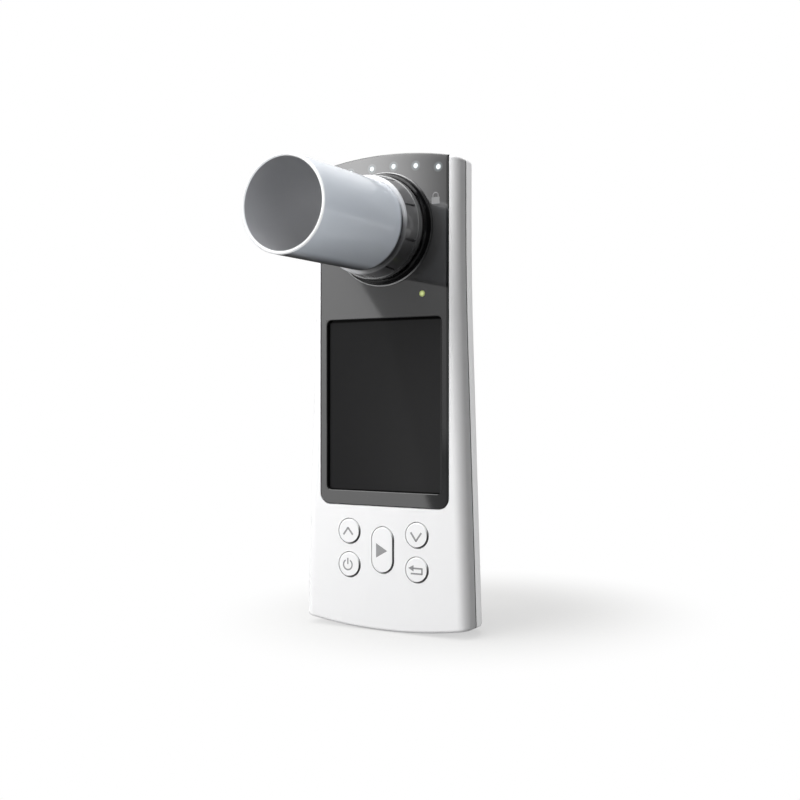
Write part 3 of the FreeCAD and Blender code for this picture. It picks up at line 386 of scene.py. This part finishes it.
housingLook = {
    "colour": rgb(0.21, 0.211, 0.215),
    "vary": 0.1,
    # the mouth rim's painted highlight
    "rimColour": rgb(0.6, 0.61, 0.63),
    "rimDepth": mouthY + 0.4,
    "rimBlur": 0.15,
    "rimShade": (0.8, 1.15),
    "rimShadeShare": 0.03,
    "gripShade": (1.05, 1.48),          # painted shade: where the grip's dark side begins, and where it is darkest
    "gripShadeColour": rgb(0.035, 0.035, 0.037),
    "gripShadeCoatLoss": 0.7,
    "wornColour": rgb(0.3, 0.3, 0.31),
    "wear": 0.3,
    "cloudScale": 0.1,
    "rubScale": 0.8,
    "rubbed": (0.4, 0.6),
    "grainDepth": 0.0008,
    "roughness": 0.25,
    "roughVary": 0.06,
    "specular": 0.6,
    "coat": 0.8,
    "coatRoughness": 0.07,
}
dress("turbine_housing", housingPlastic("turbineSmoke", housingLook))
print("turbine housing done")


# Polished acrylic over the upper half of the front, with a painted reflection that grows paler towards the
# crown, a dark band left of the window, dark cut walls and painted shade on the right side
def panelAcrylic(name, look):
    finish = Finish(name)
    cloud = finish.noise(look["cloudScale"], detail=4)
    smear = finish.noise(look["smearScale"], detail=5, stretch=look["smearWay"])
    dust = finish.ease(finish.noise(look["dustScale"], detail=2), *look["dusty"])
    height = finish.ease(finish.along("Z"), look["foot"], look["crown"])
    colour = finish.tint(height, look["footColour"], look["crownColour"])
    colour = finish.tint(cloud * look["cloudShare"], colour, look["cloudColour"])
    colour = finish.tint(dust * look["dustShare"], colour, look["dustColour"])
    across = finish.along("X")
    fromMiddle = finish.compute("ABSOLUTE", finish.along("Z") - windowZ)
    band = finish.past(across, look["bandFrom"], look["blur"])
    band = band * finish.before(across, look["bandTo"], look["blur"])
    band = band * finish.before(fromMiddle, look["bandReach"], look["blur"])
    # Painted shade on the panel's right side
    side = finish.past(across, look["sideFrom"], look["blur"])
    cut = finish.past(finish.along("Y"), look["cutDepth"], look["blur"])
    dark = finish.compute("MAXIMUM", finish.compute("MAXIMUM", band, side), cut)
    colour = finish.tint(dark, colour, look["darkColour"])
    smeared = finish.ease(smear, *look["smeared"])
    return finish.surface({
        "Base Color": colour,
        "Roughness": look["roughness"] + smeared * look["smear"] + cut * look["cutRough"],
        "Specular IOR Level": look["specular"],
        "Emission Color": finish.tint(finish.lampGlow(*look["haloSpan"]), rgb(0, 0, 0), look["halo"]),
        "Emission Strength": look["haloStrength"],
        "Normal": finish.bump(cloud, look["wave"]),
    })


panelLook = {
    # Painted reflection: the panel grows paler from foot to crown
    "foot": 50.0,
    "crown": 130.0,
    "footColour": rgb(0.006, 0.006, 0.0065),
    "crownColour": rgb(0.04, 0.04, 0.041),
    "cloudColour": rgb(0.048, 0.048, 0.0492),
    "cloudShare": 0.2,
    "cloudScale": 0.03,
    "darkColour": rgb(0.002, 0.002, 0.002),
    "bandFrom": -23.0,
    "bandTo": -20.0,
    "bandReach": 29.5,              # above and below the window's middle
    # painted shade on the panel's right side
    "sideFrom": 24.1,
    "cutDepth": faceY + 0.1,
    "cutRough": 0.5,
    "blur": 0.1,
    "dustColour": rgb(0.3, 0.3, 0.3),
    "dustShare": 0.12,
    "dustScale": 3.0,
    "dusty": (0.72, 0.8),
    "roughness": 0.045,
    "specular": 0.5,
    "smear": 0.02,
    "smearScale": 0.12,
    "smearWay": (1000, 1000, 400),
    "smeared": (0.45, 0.8),
    "wave": 0.0006,
    "halo": rgb(0.75, 0.9, 0.95),   # light from the level lamps that spreads in the acrylic
    "haloSpan": (0.7, 2.0),
    "haloStrength": 0.16,
}
dress("front_panel", panelAcrylic("panelAcrylic", panelLook))
print("panel done")


# Smoky tube plastic: a bright cut rim, a bore that grows paler inwards with painted shade on its roof,
# painted shade along the underside, a painted shadow at the seat's lower right, and fine draw lines along
# the tube
def tubePlastic(name, look):
    finish = Finish(name)
    depth = finish.along("Y")
    radius = finish.fromFlow()
    aboveAxis = finish.along("Z") - flowZ
    cloud = finish.noise(look["cloudScale"], detail=4)
    drawn = finish.noise(look["lineScale"], detail=3, stretch=look["lineWay"])
    colour = finish.mottled(cloud, look["colour"], 1 - look["vary"], 1 + look["vary"])
    inwards = finish.ease(depth, look["rimDepth"], mouthY)
    inner = finish.tint(inwards, look["innerColour"], look["deepColour"])
    # Painted shade on the bore's roof
    roof = finish.ease(aboveAxis, -look["innerRadius"], look["innerRadius"])
    inner = finish.tint(roof * look["roofShare"], inner, look["roofColour"])
    inside = finish.ease(radius, look["innerRadius"], look["outerRadius"], 1, 0)
    colour = finish.tint(inside, colour, inner)
    # Painted shade along the tube's underside
    facing = finish.along("X") * look["underWay"][0] + aboveAxis * look["underWay"][1]
    under = finish.ease(facing / radius, *look["under"]) * (1 - inside)
    colour = finish.tint(under, colour, look["tubeShadeColour"])
    # Painted shadow where the tube enters the housing, at its lower right
    seat = finish.ease(depth, *look["seat"]) * finish.before(depth, mouthY, look["seatBlur"])
    seat = seat * finish.ease(finish.toLowerRight(), *look["seatShade"])
    colour = finish.tint(seat, colour, look["tubeShadeColour"])
    rim = finish.before(depth, look["rimDepth"], look["rimBlur"])
    colour = finish.tint(rim, colour, look["rimColour"])
    return finish.surface({
        "Base Color": colour,
        "Roughness": look["roughness"] + finish.swing(drawn, look["roughVary"]) + under * look["underRough"],
        "Specular IOR Level": look["specular"],
        "Transmission Weight": look["clear"],
        "Subsurface Weight": look["scatter"],
        "Subsurface Radius": look["scatterWay"],
        "Subsurface Scale": look["scatterReach"],
        "Coat Weight": look["coat"] * (1 - under),
        "Coat Roughness": look["coatRoughness"],
        "Normal": finish.bump(drawn, look["lineDepth"]),
    })


tubeLook = {
    "colour": rgb(0.65, 0.7, 0.77),
    "vary": 0.05,
    "innerRadius": 14.1,
    "outerRadius": 14.6,
    "innerColour": rgb(0.4, 0.404, 0.42),
    "deepColour": rgb(0.84, 0.845, 0.86),
    # painted shade on the bore's roof
    "roofColour": rgb(0.12, 0.122, 0.13),
    "roofShare": 0.5,
    "rimColour": rgb(0.95, 0.96, 0.97),
    "rimDepth": tubeEndY + 0.25,
    "rimBlur": 0.35,
    "tubeShadeColour": rgb(0.02, 0.02, 0.022),
    "underWay": (-0.29, -0.957),    # down and a little to the left
    "under": (0.76, 0.97),
    "underRough": 0.4,
    "seat": (mouthY - 2.0, mouthY - 0.6),
    "seatBlur": 0.3,
    "seatShade": (0.3, 1.0),
    "cloudScale": 0.04,
    "lineScale": 0.9,
    "lineWay": (1000, 60, 1000),
    "lineDepth": 0.0005,
    "roughness": 0.32,
    "roughVary": 0.08,
    "specular": 0.5,
    "coat": 0.6,
    "coatRoughness": 0.03,
    "clear": 0.12,
    "scatter": 0.5,
    "scatterWay": (1.0, 1.0, 1.0),
    "scatterReach": 0.004,
}
dress("mouthpiece", tubePlastic("mouthpieceSmoke", tubeLook))
print("mouthpiece done")


# Dark glass over the display, with a printed border, painted light that grows paler towards the right, and a
# painted highlight along the right edge
def darkGlass(name, look):
    finish = Finish(name)
    cloud = finish.noise(look["cloudScale"], detail=3)
    smear = finish.noise(look["smearScale"], detail=6, stretch=look["smearWay"])
    across = finish.along("X")
    upright = finish.along("Z")
    border = finish.compute("MAXIMUM", look["left"] - across, upright - look["top"])
    border = finish.past(finish.compute("MAXIMUM", border, look["bottom"] - upright), 0, look["blur"])
    # A painted highlight along the right edge
    edgeHighlight = finish.past(across, look["right"], look["blur"])
    colour = finish.mottled(cloud, look["colour"], *look["cloudy"])
    # Painted light, paler towards the right
    rightward = finish.ease(across, look["left"], look["right"])
    colour = finish.tint(rightward, colour, look["rightLightColour"])
    colour = finish.tint(edgeHighlight, colour, look["edgeHighlightColour"])
    colour = finish.tint(border, colour, look["borderColour"])
    return finish.surface({
        "Base Color": colour,
        "Roughness": look["roughness"] + finish.ease(smear, *look["smeared"]) * look["smear"],
        "Specular IOR Level": look["specular"],
        "Normal": finish.bump(cloud, look["wave"]),
    })


glassLook = {
    "colour": rgb(0.015, 0.015, 0.0155),
    "cloudy": (1.0, 1.2),
    "rightLightColour": rgb(0.028, 0.028, 0.0285),
    "borderColour": rgb(0.002, 0.002, 0.002),
    "edgeHighlightColour": rgb(0.04, 0.04, 0.0405),
    "blur": 0.15,
    "left": -21.9,
    "right": 21.2,
    "top": 104.8,
    "bottom": 47.5,
    "cloudScale": 0.05,
    "smear": 0.08,
    "smearScale": 0.15,
    "smearWay": (1000, 1000, 400),
    "smeared": (0.5, 0.75),
    "roughness": 0.05,
    "specular": 0.015,
    "wave": 0.0005,
}
dress("display_glass", darkGlass("displayGlass", glassLook))
print("display done")


# Bright metal with fine scratches along one axis
def wornMetal(name, look):
    finish = Finish(name)
    cloud = finish.noise(look["cloudScale"], detail=4)
    scratch = finish.noise(look["scratchScale"], detail=4, stretch=look["grainWay"])
    return finish.surface({
        "Base Color": finish.mottled(cloud, look["colour"], *look["cloudy"]),
        "Metallic": 1.0,
        "Roughness": look["roughness"] + finish.swing(scratch, look["roughVary"]),
        "Normal": finish.bump(scratch, look["scratchDepth"]),
    })


steelLook = {
    "colour": rgb(0.56, 0.56, 0.57),
    "cloudy": (0.85, 1.1),
    "cloudScale": 0.4,
    "scratchScale": 3.0,
    "grainWay": (1000, 1000, 80),
    "scratchDepth": 0.003,
    "roughness": 0.28,
    "roughVary": 0.25,
}
steel = wornMetal("steel", steelLook)
dress("rotor_shaft", steel)
dress("case_screws", steel)

tinLook = dict(steelLook, colour=rgb(0.66, 0.66, 0.67), roughness=0.34, grainWay=(1000, 80, 1000))
tin = wornMetal("tinPlate", tinLook)
dress("shield_can", tin)
dress("usb_socket", tin)

brassLook = dict(steelLook, colour=rgb(0.7, 0.52, 0.24), roughness=0.3)
brass = wornMetal("bearingBrass", brassLook)
dress("front_bearing", brass)
dress("rear_bearing", brass)

foilLook = dict(steelLook, colour=rgb(0.62, 0.62, 0.64), roughness=0.4, cloudScale=0.1)
dress("battery", wornMetal("batteryFoil", foilLook))
print("metals done")


# Lit resin of the lamps and their light guides, brightest in the middle
def litResin(name, look):
    finish = Finish(name)
    cloud = finish.noise(look["cloudScale"], detail=3)
    if look["middle"]:
        away = finish.distance(finish.along("X") - look["middle"][0], finish.along("Z") - look["middle"][1])
        core = finish.ease(away, look["core"], look["edge"], 1, 0)
    else:
        core = finish.lampGlow(look["core"], look["edge"])
    glow = finish.mottled(cloud, look["glow"], *look["glowing"])
    return finish.surface({
        "Base Color": finish.mottled(cloud, look["colour"], *look["cloudy"]),
        "Roughness": look["roughness"] + cloud * look["roughVary"],
        "Emission Color": finish.tint(core, look["dim"], glow),
        "Emission Strength": look["strength"],
        "Normal": finish.bump(cloud, look["wave"]),
    })


whiteLamp = {
    "middle": None,                 # each level lamp has its own
    "colour": rgb(0.3, 0.32, 0.33),
    "cloudy": (1.0, 0.9),
    "glow": rgb(0.93, 0.97, 1.0),
    "glowing": (0.94, 1.0),
    "dim": rgb(0.16, 0.18, 0.185),
    "core": 0.45,
    "edge": 0.95,
    "strength": 0.95,
    "roughness": 0.25,
    "roughVary": 0.1,
    "cloudScale": 1.2,
    "wave": 0.002,
}
whiteResin = litResin("lampWhite", whiteLamp)
dress("level_leds", whiteResin)
dress("level_light_guides", whiteResin)

greenLamp = dict(
    whiteLamp,
    middle=(15.16, 113.4),
    colour=rgb(0.2, 0.24, 0.06),
    glow=rgb(0.52, 0.59, 0.24),
    dim=rgb(0.13, 0.15, 0.05),
    core=0.0,
    edge=1.1,
)
greenResin = litResin("lampGreen", greenLamp)
dress("status_led", greenResin)
dress("status_light_guide", greenResin)
print("lamps done")


# Flat printed marks, a few hundredths of a millimetre proud of what carries them
def printMark(name, body, outlines, look, material):
    shape = bmesh.new()
    frontY = look["face"] - look["thickness"]
    for outline in outlines:
        back = [shape.verts.new((x * mm, look["face"] * mm, z * mm)) for x, z in outline]
        front = [shape.verts.new((x * mm, frontY * mm, z * mm)) for x, z in outline]
        shape.faces.new(back)
        shape.faces.new(front)
        for step in range(len(outline)):
            shape.faces.new((back[step - 1], back[step], front[step], front[step - 1]))
    bmesh.ops.recalc_face_normals(shape, faces=shape.faces)
    mesh = bpy.data.meshes.new(name)
    shape.to_mesh(mesh)
    shape.free()
    mark = bpy.data.objects.new(name, mesh)
    mesh.materials.append(material)
    bpy.context.scene.collection.objects.link(mark)
    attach(mark, body)


def strokeRun(points, width, overlap=0.25):         # one outline for each stretch, a little longer than it
    outlines = []
    for (x0, z0), (x1, z1) in zip(points, points[1:]):
        run = Vector((x1 - x0, z1 - z0)).normalized() * width
        side = Vector((-run.y, run.x)) / 2
        run = run * overlap
        outlines.append([
            (x0 - run.x + side.x, z0 - run.y + side.y),
            (x0 - run.x - side.x, z0 - run.y - side.y),
            (x1 + run.x - side.x, z1 + run.y - side.y),
            (x1 + run.x + side.x, z1 + run.y + side.y),
        ])
    return outlines


def arcBand(centre, radius, width, start, end, steps=14):   # angles in degrees
    outlines = []
    for step in range(steps):
        first = math.radians(start + (end - start) * step / steps)
        second = math.radians(start + (end - start) * (step + 1) / steps)
        corners = []
        for angle, reach in ((first, radius - width / 2), (first, radius + width / 2),
                             (second, radius + width / 2), (second, radius - width / 2)):
            corners.append((centre[0] + reach * math.cos(angle), centre[1] + reach * math.sin(angle)))
        outlines.append(corners)
    return outlines


def moved(points, middle):
    return [(x + middle[0], z + middle[1]) for x, z in points]


def inkFinish(name, look):
    finish = Finish(name)
    speck = finish.cells(look["speckScale"])
    patch = finish.noise(look["patchScale"], detail=4)
    return finish.surface({
        "Base Color": finish.mottled(patch, look["colour"], 1 - look["vary"], 1 + look["vary"]),
        "Roughness": look["roughness"] + speck * look["roughVary"],
        "Normal": finish.bump(speck, look["speckDepth"]),
    })


inkLook = {
    "colour": rgb(0.3, 0.3, 0.305),
    "vary": 0.08,
    "patchScale": 0.8,
    "speckScale": 6.0,
    "speckDepth": 0.004,
    "roughness": 0.5,
    "roughVary": 0.1,
    "face": faceY - 0.3,            # the buttons' faces
    "thickness": 0.03,
}
ink = inkFinish("markGrey", inkLook)

markLook = {
    "middle": (0, 78.1),            # the places below are measured from here
    "line": 0.62,
    "up": [(-15.36, -46.18), (-13.63, -43.9), (-11.8, -46.1)],
    "down": [(11.1, -44.2), (13.0, -46.9), (14.95, -44.2)],
    "play": [(-2.4, -48.5), (-2.4, -53.4), (1.95, -50.95)],
}
upShape = strokeRun(moved(markLook["up"], markLook["middle"]), markLook["line"])
printMark("up_mark", "up_button", upShape, inkLook, ink)
downShape = strokeRun(moved(markLook["down"], markLook["middle"]), markLook["line"])
printMark("down_mark", "down_button", downShape, inkLook, ink)
playShape = [moved(markLook["play"], markLook["middle"])]
printMark("play_mark", "start_button", playShape, inkLook, ink)

powerLook = {
    "middle": (-13.7, 21.5),
    "radius": 1.75,
    "line": 0.5,
    "ring": (120, 420),             # from where to where it runs, in degrees
    "stem": [(0, 2.2), (0, 0.3)],
}
powerShape = arcBand(powerLook["middle"], powerLook["radius"], powerLook["line"], *powerLook["ring"])
powerShape += strokeRun(moved(powerLook["stem"], powerLook["middle"]), powerLook["line"])
printMark("power_mark", "power_button", powerShape, inkLook, ink)

returnLook = {
    "middle": (0, 78.1),
    "head": [(10.1, -55.95), (12.1, -54.9), (12.1, -57.0)],
    "bend": [(11.9, -55.95), (15.3, -55.95), (15.3, -57.75), (11.2, -57.75)],
    "line": 0.55,
}
returnShape = [moved(returnLook["head"], returnLook["middle"])]
returnShape += strokeRun(moved(returnLook["bend"], returnLook["middle"]), returnLook["line"])
printMark("return_mark", "return_button", returnShape, inkLook, ink)

lockLook = dict(
    inkLook,
    colour=rgb(0.27, 0.27, 0.275),
    face=faceY,
    middle=(20.25, 143.95),
    body=[(-1.45, -1.25), (1.45, -1.25), (1.45, 0.95), (-1.45, 0.95)],
    bow=(0, 1.5),                   # the middle of the bow's arc
    bowRadius=0.95,
    bowFoot=-0.6,                   # below that middle
    line=0.36,
)
lockInk = inkFinish("markPale", lockLook)
bowMiddle = moved([lockLook["bow"]], lockLook["middle"])[0]
lockShape = [moved(lockLook["body"], lockLook["middle"])]
lockShape += arcBand(bowMiddle, lockLook["bowRadius"], lockLook["line"], 0, 180)
for aside in (-lockLook["bowRadius"], lockLook["bowRadius"]):
    leg = moved([(aside, 0), (aside, lockLook["bowFoot"])], bowMiddle)
    lockShape += strokeRun(leg, lockLook["line"])
printMark("padlock_mark", "case", lockShape, lockLook, lockInk)
print("marks done")


# A white floor that keeps a faint shadow
floorLook = {
    "size": 6.0,
    "height": -0.0002,
    "ownColour": rgb(1, 1, 1),
    "seenColour": rgb(0.5, 0.495, 0.485),
    "bounceColour": rgb(0.3, 0.3, 0.3),
    "centre": (6.0, 68.0, 0.0),     # the middle of the shadow
    "squeeze": (1.1, 1.0, 0.0),
    "shadowShare": 0.46,            # how much of the floor's brightness is lit there
    "fade": (28.0, 106.0),          # mm from the centre, where that share falls to nothing
    "mirrorFade": (150.0, 2500.0),  # mm from the centre, where reflections begin to see its own white
}
floorMesh = bpy.data.meshes.new("studioFloor")
reach = floorLook["size"] / 2
corners = [(-reach, -reach), (reach, -reach), (reach, reach), (-reach, reach)]
floorMesh.from_pydata([(x, y, floorLook["height"]) for x, y in corners], [], [(0, 1, 2, 3)])
floor = bpy.data.objects.new("studioFloor", floorMesh)
bpy.context.scene.collection.objects.link(floor)
floorFinish = Finish("studioFloorWhite")
seen = floorFinish.ray("Is Camera Ray")
mirrored = floorFinish.ray("Is Glossy Ray")
passed = floorFinish.ray("Is Transmission Ray")
bounce = floorFinish.tint(seen, floorLook["bounceColour"], floorLook["seenColour"])
lit = floorFinish.node("ShaderNodeBsdfDiffuse", {}, {"Color": bounce})
own = floorFinish.node("ShaderNodeEmission", {}, {"Color": floorLook["ownColour"], "Strength": 1.0})
apart = floorFinish.vectors("SUBTRACT", floorFinish.spot(), floorLook["centre"])
apart = floorFinish.vectors("MULTIPLY", apart, floorLook["squeeze"])
away = floorFinish.vectors("LENGTH", apart, output="Value")
litShare = floorFinish.ease(away, *floorLook["fade"], floorLook["shadowShare"], 0)
mirrorShare = floorFinish.ease(away, *floorLook["mirrorFade"])
ownShare = seen * (1 - litShare) + mirrored * mirrorShare + passed * (1 - litShare)
mixed = floorFinish.node("ShaderNodeMixShader", {}, {0: ownShare, 1: lit, 2: own})
floorFinish.node("ShaderNodeOutputMaterial", {}, {"Surface": mixed})
floorMesh.materials.append(floorFinish.material)

# The studio around it: white for the camera, softer as light, and darker at the right
fill = {
    "colour": rgb(1, 1, 1),
    "left": 0.34,
    "right": 0.19,
    "sides": (-0.6, 0.6),
    "leftInReflections": 1.0,
    "rightInReflections": 0.1,
    "sidesInReflections": (-0.2, 0.5),
    "behind": (0.2, 0.5),           # low behind, reflections see a darker studio too
    "low": (0.12, 0.3),
    "lowBehindLoss": 0.95,
    "glow": 9.0,                    # a small bright patch in front that the panel's top mirrors
    "glowAside": -0.52,
    "glowReach": 0.085,
    "glowFoot": (0.11, 0.2),
    "glowTop": (0.3, 0.42),
    "glowInFront": (-0.4, -0.2),
}
world = bpy.data.worlds.new("studioWhite")
world.use_nodes = True
bpy.context.scene.world = world
sky = Finish("studioWhite", world.node_tree)
seen = sky.ray("Is Camera Ray")
mirrored = sky.ray("Is Glossy Ray")
passed = sky.ray("Is Transmission Ray")
way = sky.node("ShaderNodeTexCoord", {}, {}, "Generated")
aside, behind, upward = [sky.node("ShaderNodeSeparateXYZ", {}, {0: way}, axis) for axis in "XYZ"]
soft = sky.ease(aside, *fill["sides"], fill["left"], fill["right"])
lowBehind = sky.ease(behind, *fill["behind"]) * sky.ease(upward, *fill["low"], 1, 0)
gloss = sky.ease(aside, *fill["sidesInReflections"], fill["leftInReflections"], fill["rightInReflections"])
gloss = gloss * (1 - lowBehind * fill["lowBehindLoss"])
towards = sky.before(sky.compute("ABSOLUTE", aside - fill["glowAside"]), 0, fill["glowReach"])
patch = sky.ease(upward, *fill["glowFoot"]) * sky.ease(upward, *fill["glowTop"], 1, 0)
gloss = gloss + towards * patch * sky.ease(behind, *fill["glowInFront"], fill["glow"], 0)
strength = soft + (seen + passed) * (1 - soft) + mirrored * (gloss - soft)
air = sky.node("ShaderNodeBackground", {}, {"Color": fill["colour"], "Strength": strength})
sky.node("ShaderNodeOutputWorld", {}, {"Surface": air})

# A bright card at the left. The panel mirrors its bent right edge.
card = {
    "distance": -0.28145,
    "left": -0.62,
    "edge": [(-0.2690, 0.2600), (-0.1958, 0.1585), (-0.1752, 0.1288), (-0.1602, 0.0729),
             (-0.1456, 0.0182), (-0.1385, 0.0005)],
    "colour": rgb(1, 1, 1),
    "brightness": 3.1,
}
cardMesh = bpy.data.meshes.new("leftCard")
corners = [(card["left"], card["edge"][-1][1]), (card["left"], card["edge"][0][1])] + card["edge"]
cardMesh.from_pydata([(x, card["distance"], z) for x, z in corners], [], [tuple(range(len(corners)))])
cardFinish = Finish("leftCardLight")
glow = cardFinish.node("ShaderNodeEmission", {}, {"Color": card["colour"], "Strength": card["brightness"]})
cardFinish.node("ShaderNodeOutputMaterial", {}, {"Surface": glow})
cardMesh.materials.append(cardFinish.material)
leftCard = bpy.data.objects.new("leftCard", cardMesh)
leftCard.visible_camera = False
bpy.context.scene.collection.objects.link(leftCard)


# A soft lamp, as bright for its size as the look says, that may light one piece alone
def softLamp(name, look):
    lampData = bpy.data.lights.new(name, "AREA")
    lampData.shape = "RECTANGLE"
    lampData.size = look["width"]
    lampData.size_y = look["height"]
    lampData.energy = look["brightness"] * look["width"] * look["height"] * math.pi
    lampData.color = look["colour"]
    lamp = bpy.data.objects.new(name, lampData)
    lamp.location = look["place"]
    way = Vector(look["aim"]) - Vector(look["place"])
    lamp.rotation_euler = way.to_track_quat("-Z", "Y").to_euler()
    lamp.visible_camera = False
    lamp.visible_glossy = look["mirrored"]
    bpy.context.scene.collection.objects.link(lamp)
    if look["alone"]:
        lamp.light_linking.receiver_collection = bpy.data.collections.new(name + "Lit")
        lamp.light_linking.receiver_collection.objects.link(nodes[look["alone"]])


keyLamp = {
    "place": (-0.38, -0.66, 0.62),
    "aim": (0.0, 0.0, 0.1),
    "width": 0.7,
    "height": 0.6,
    "brightness": 4.3,
    "colour": (1.0, 1.0, 1.0),
    "mirrored": True,
    "alone": None,
}
softLamp("keySoftbox", keyLamp)
frontLamp = dict(keyLamp, place=(0.16, -0.8, 0.42), width=0.5, height=0.5, brightness=1.5, mirrored=False)
softLamp("frontSoftbox", frontLamp)
topLamp = dict(keyLamp, place=(-0.08, -0.05, 0.6), width=0.5, height=0.5, brightness=4.0)
softLamp("topSoftbox", topLamp)
rimLamp = {
    "place": (0.6, 0.25, 0.2),
    "aim": (0.0, 0.0, 0.08),
    "width": 0.3,
    "height": 0.5,
    "brightness": 4.4,
    "colour": (1.0, 1.0, 1.0),
    "mirrored": False,
    "alone": "rear_cover",
}
softLamp("rimSoftbox", rimLamp)
tubeLamp = {
    "place": (0.48, -0.3, 0.33),
    "aim": (0.0, 0.0, 0.13),
    "width": 0.4,
    "height": 0.4,
    "brightness": 3.2,
    "colour": (0.97, 0.98, 1.0),
    "mirrored": False,
    "alone": "mouthpiece",
}
softLamp("tubeSoftbox", tubeLamp)
print("stage and lamps done")
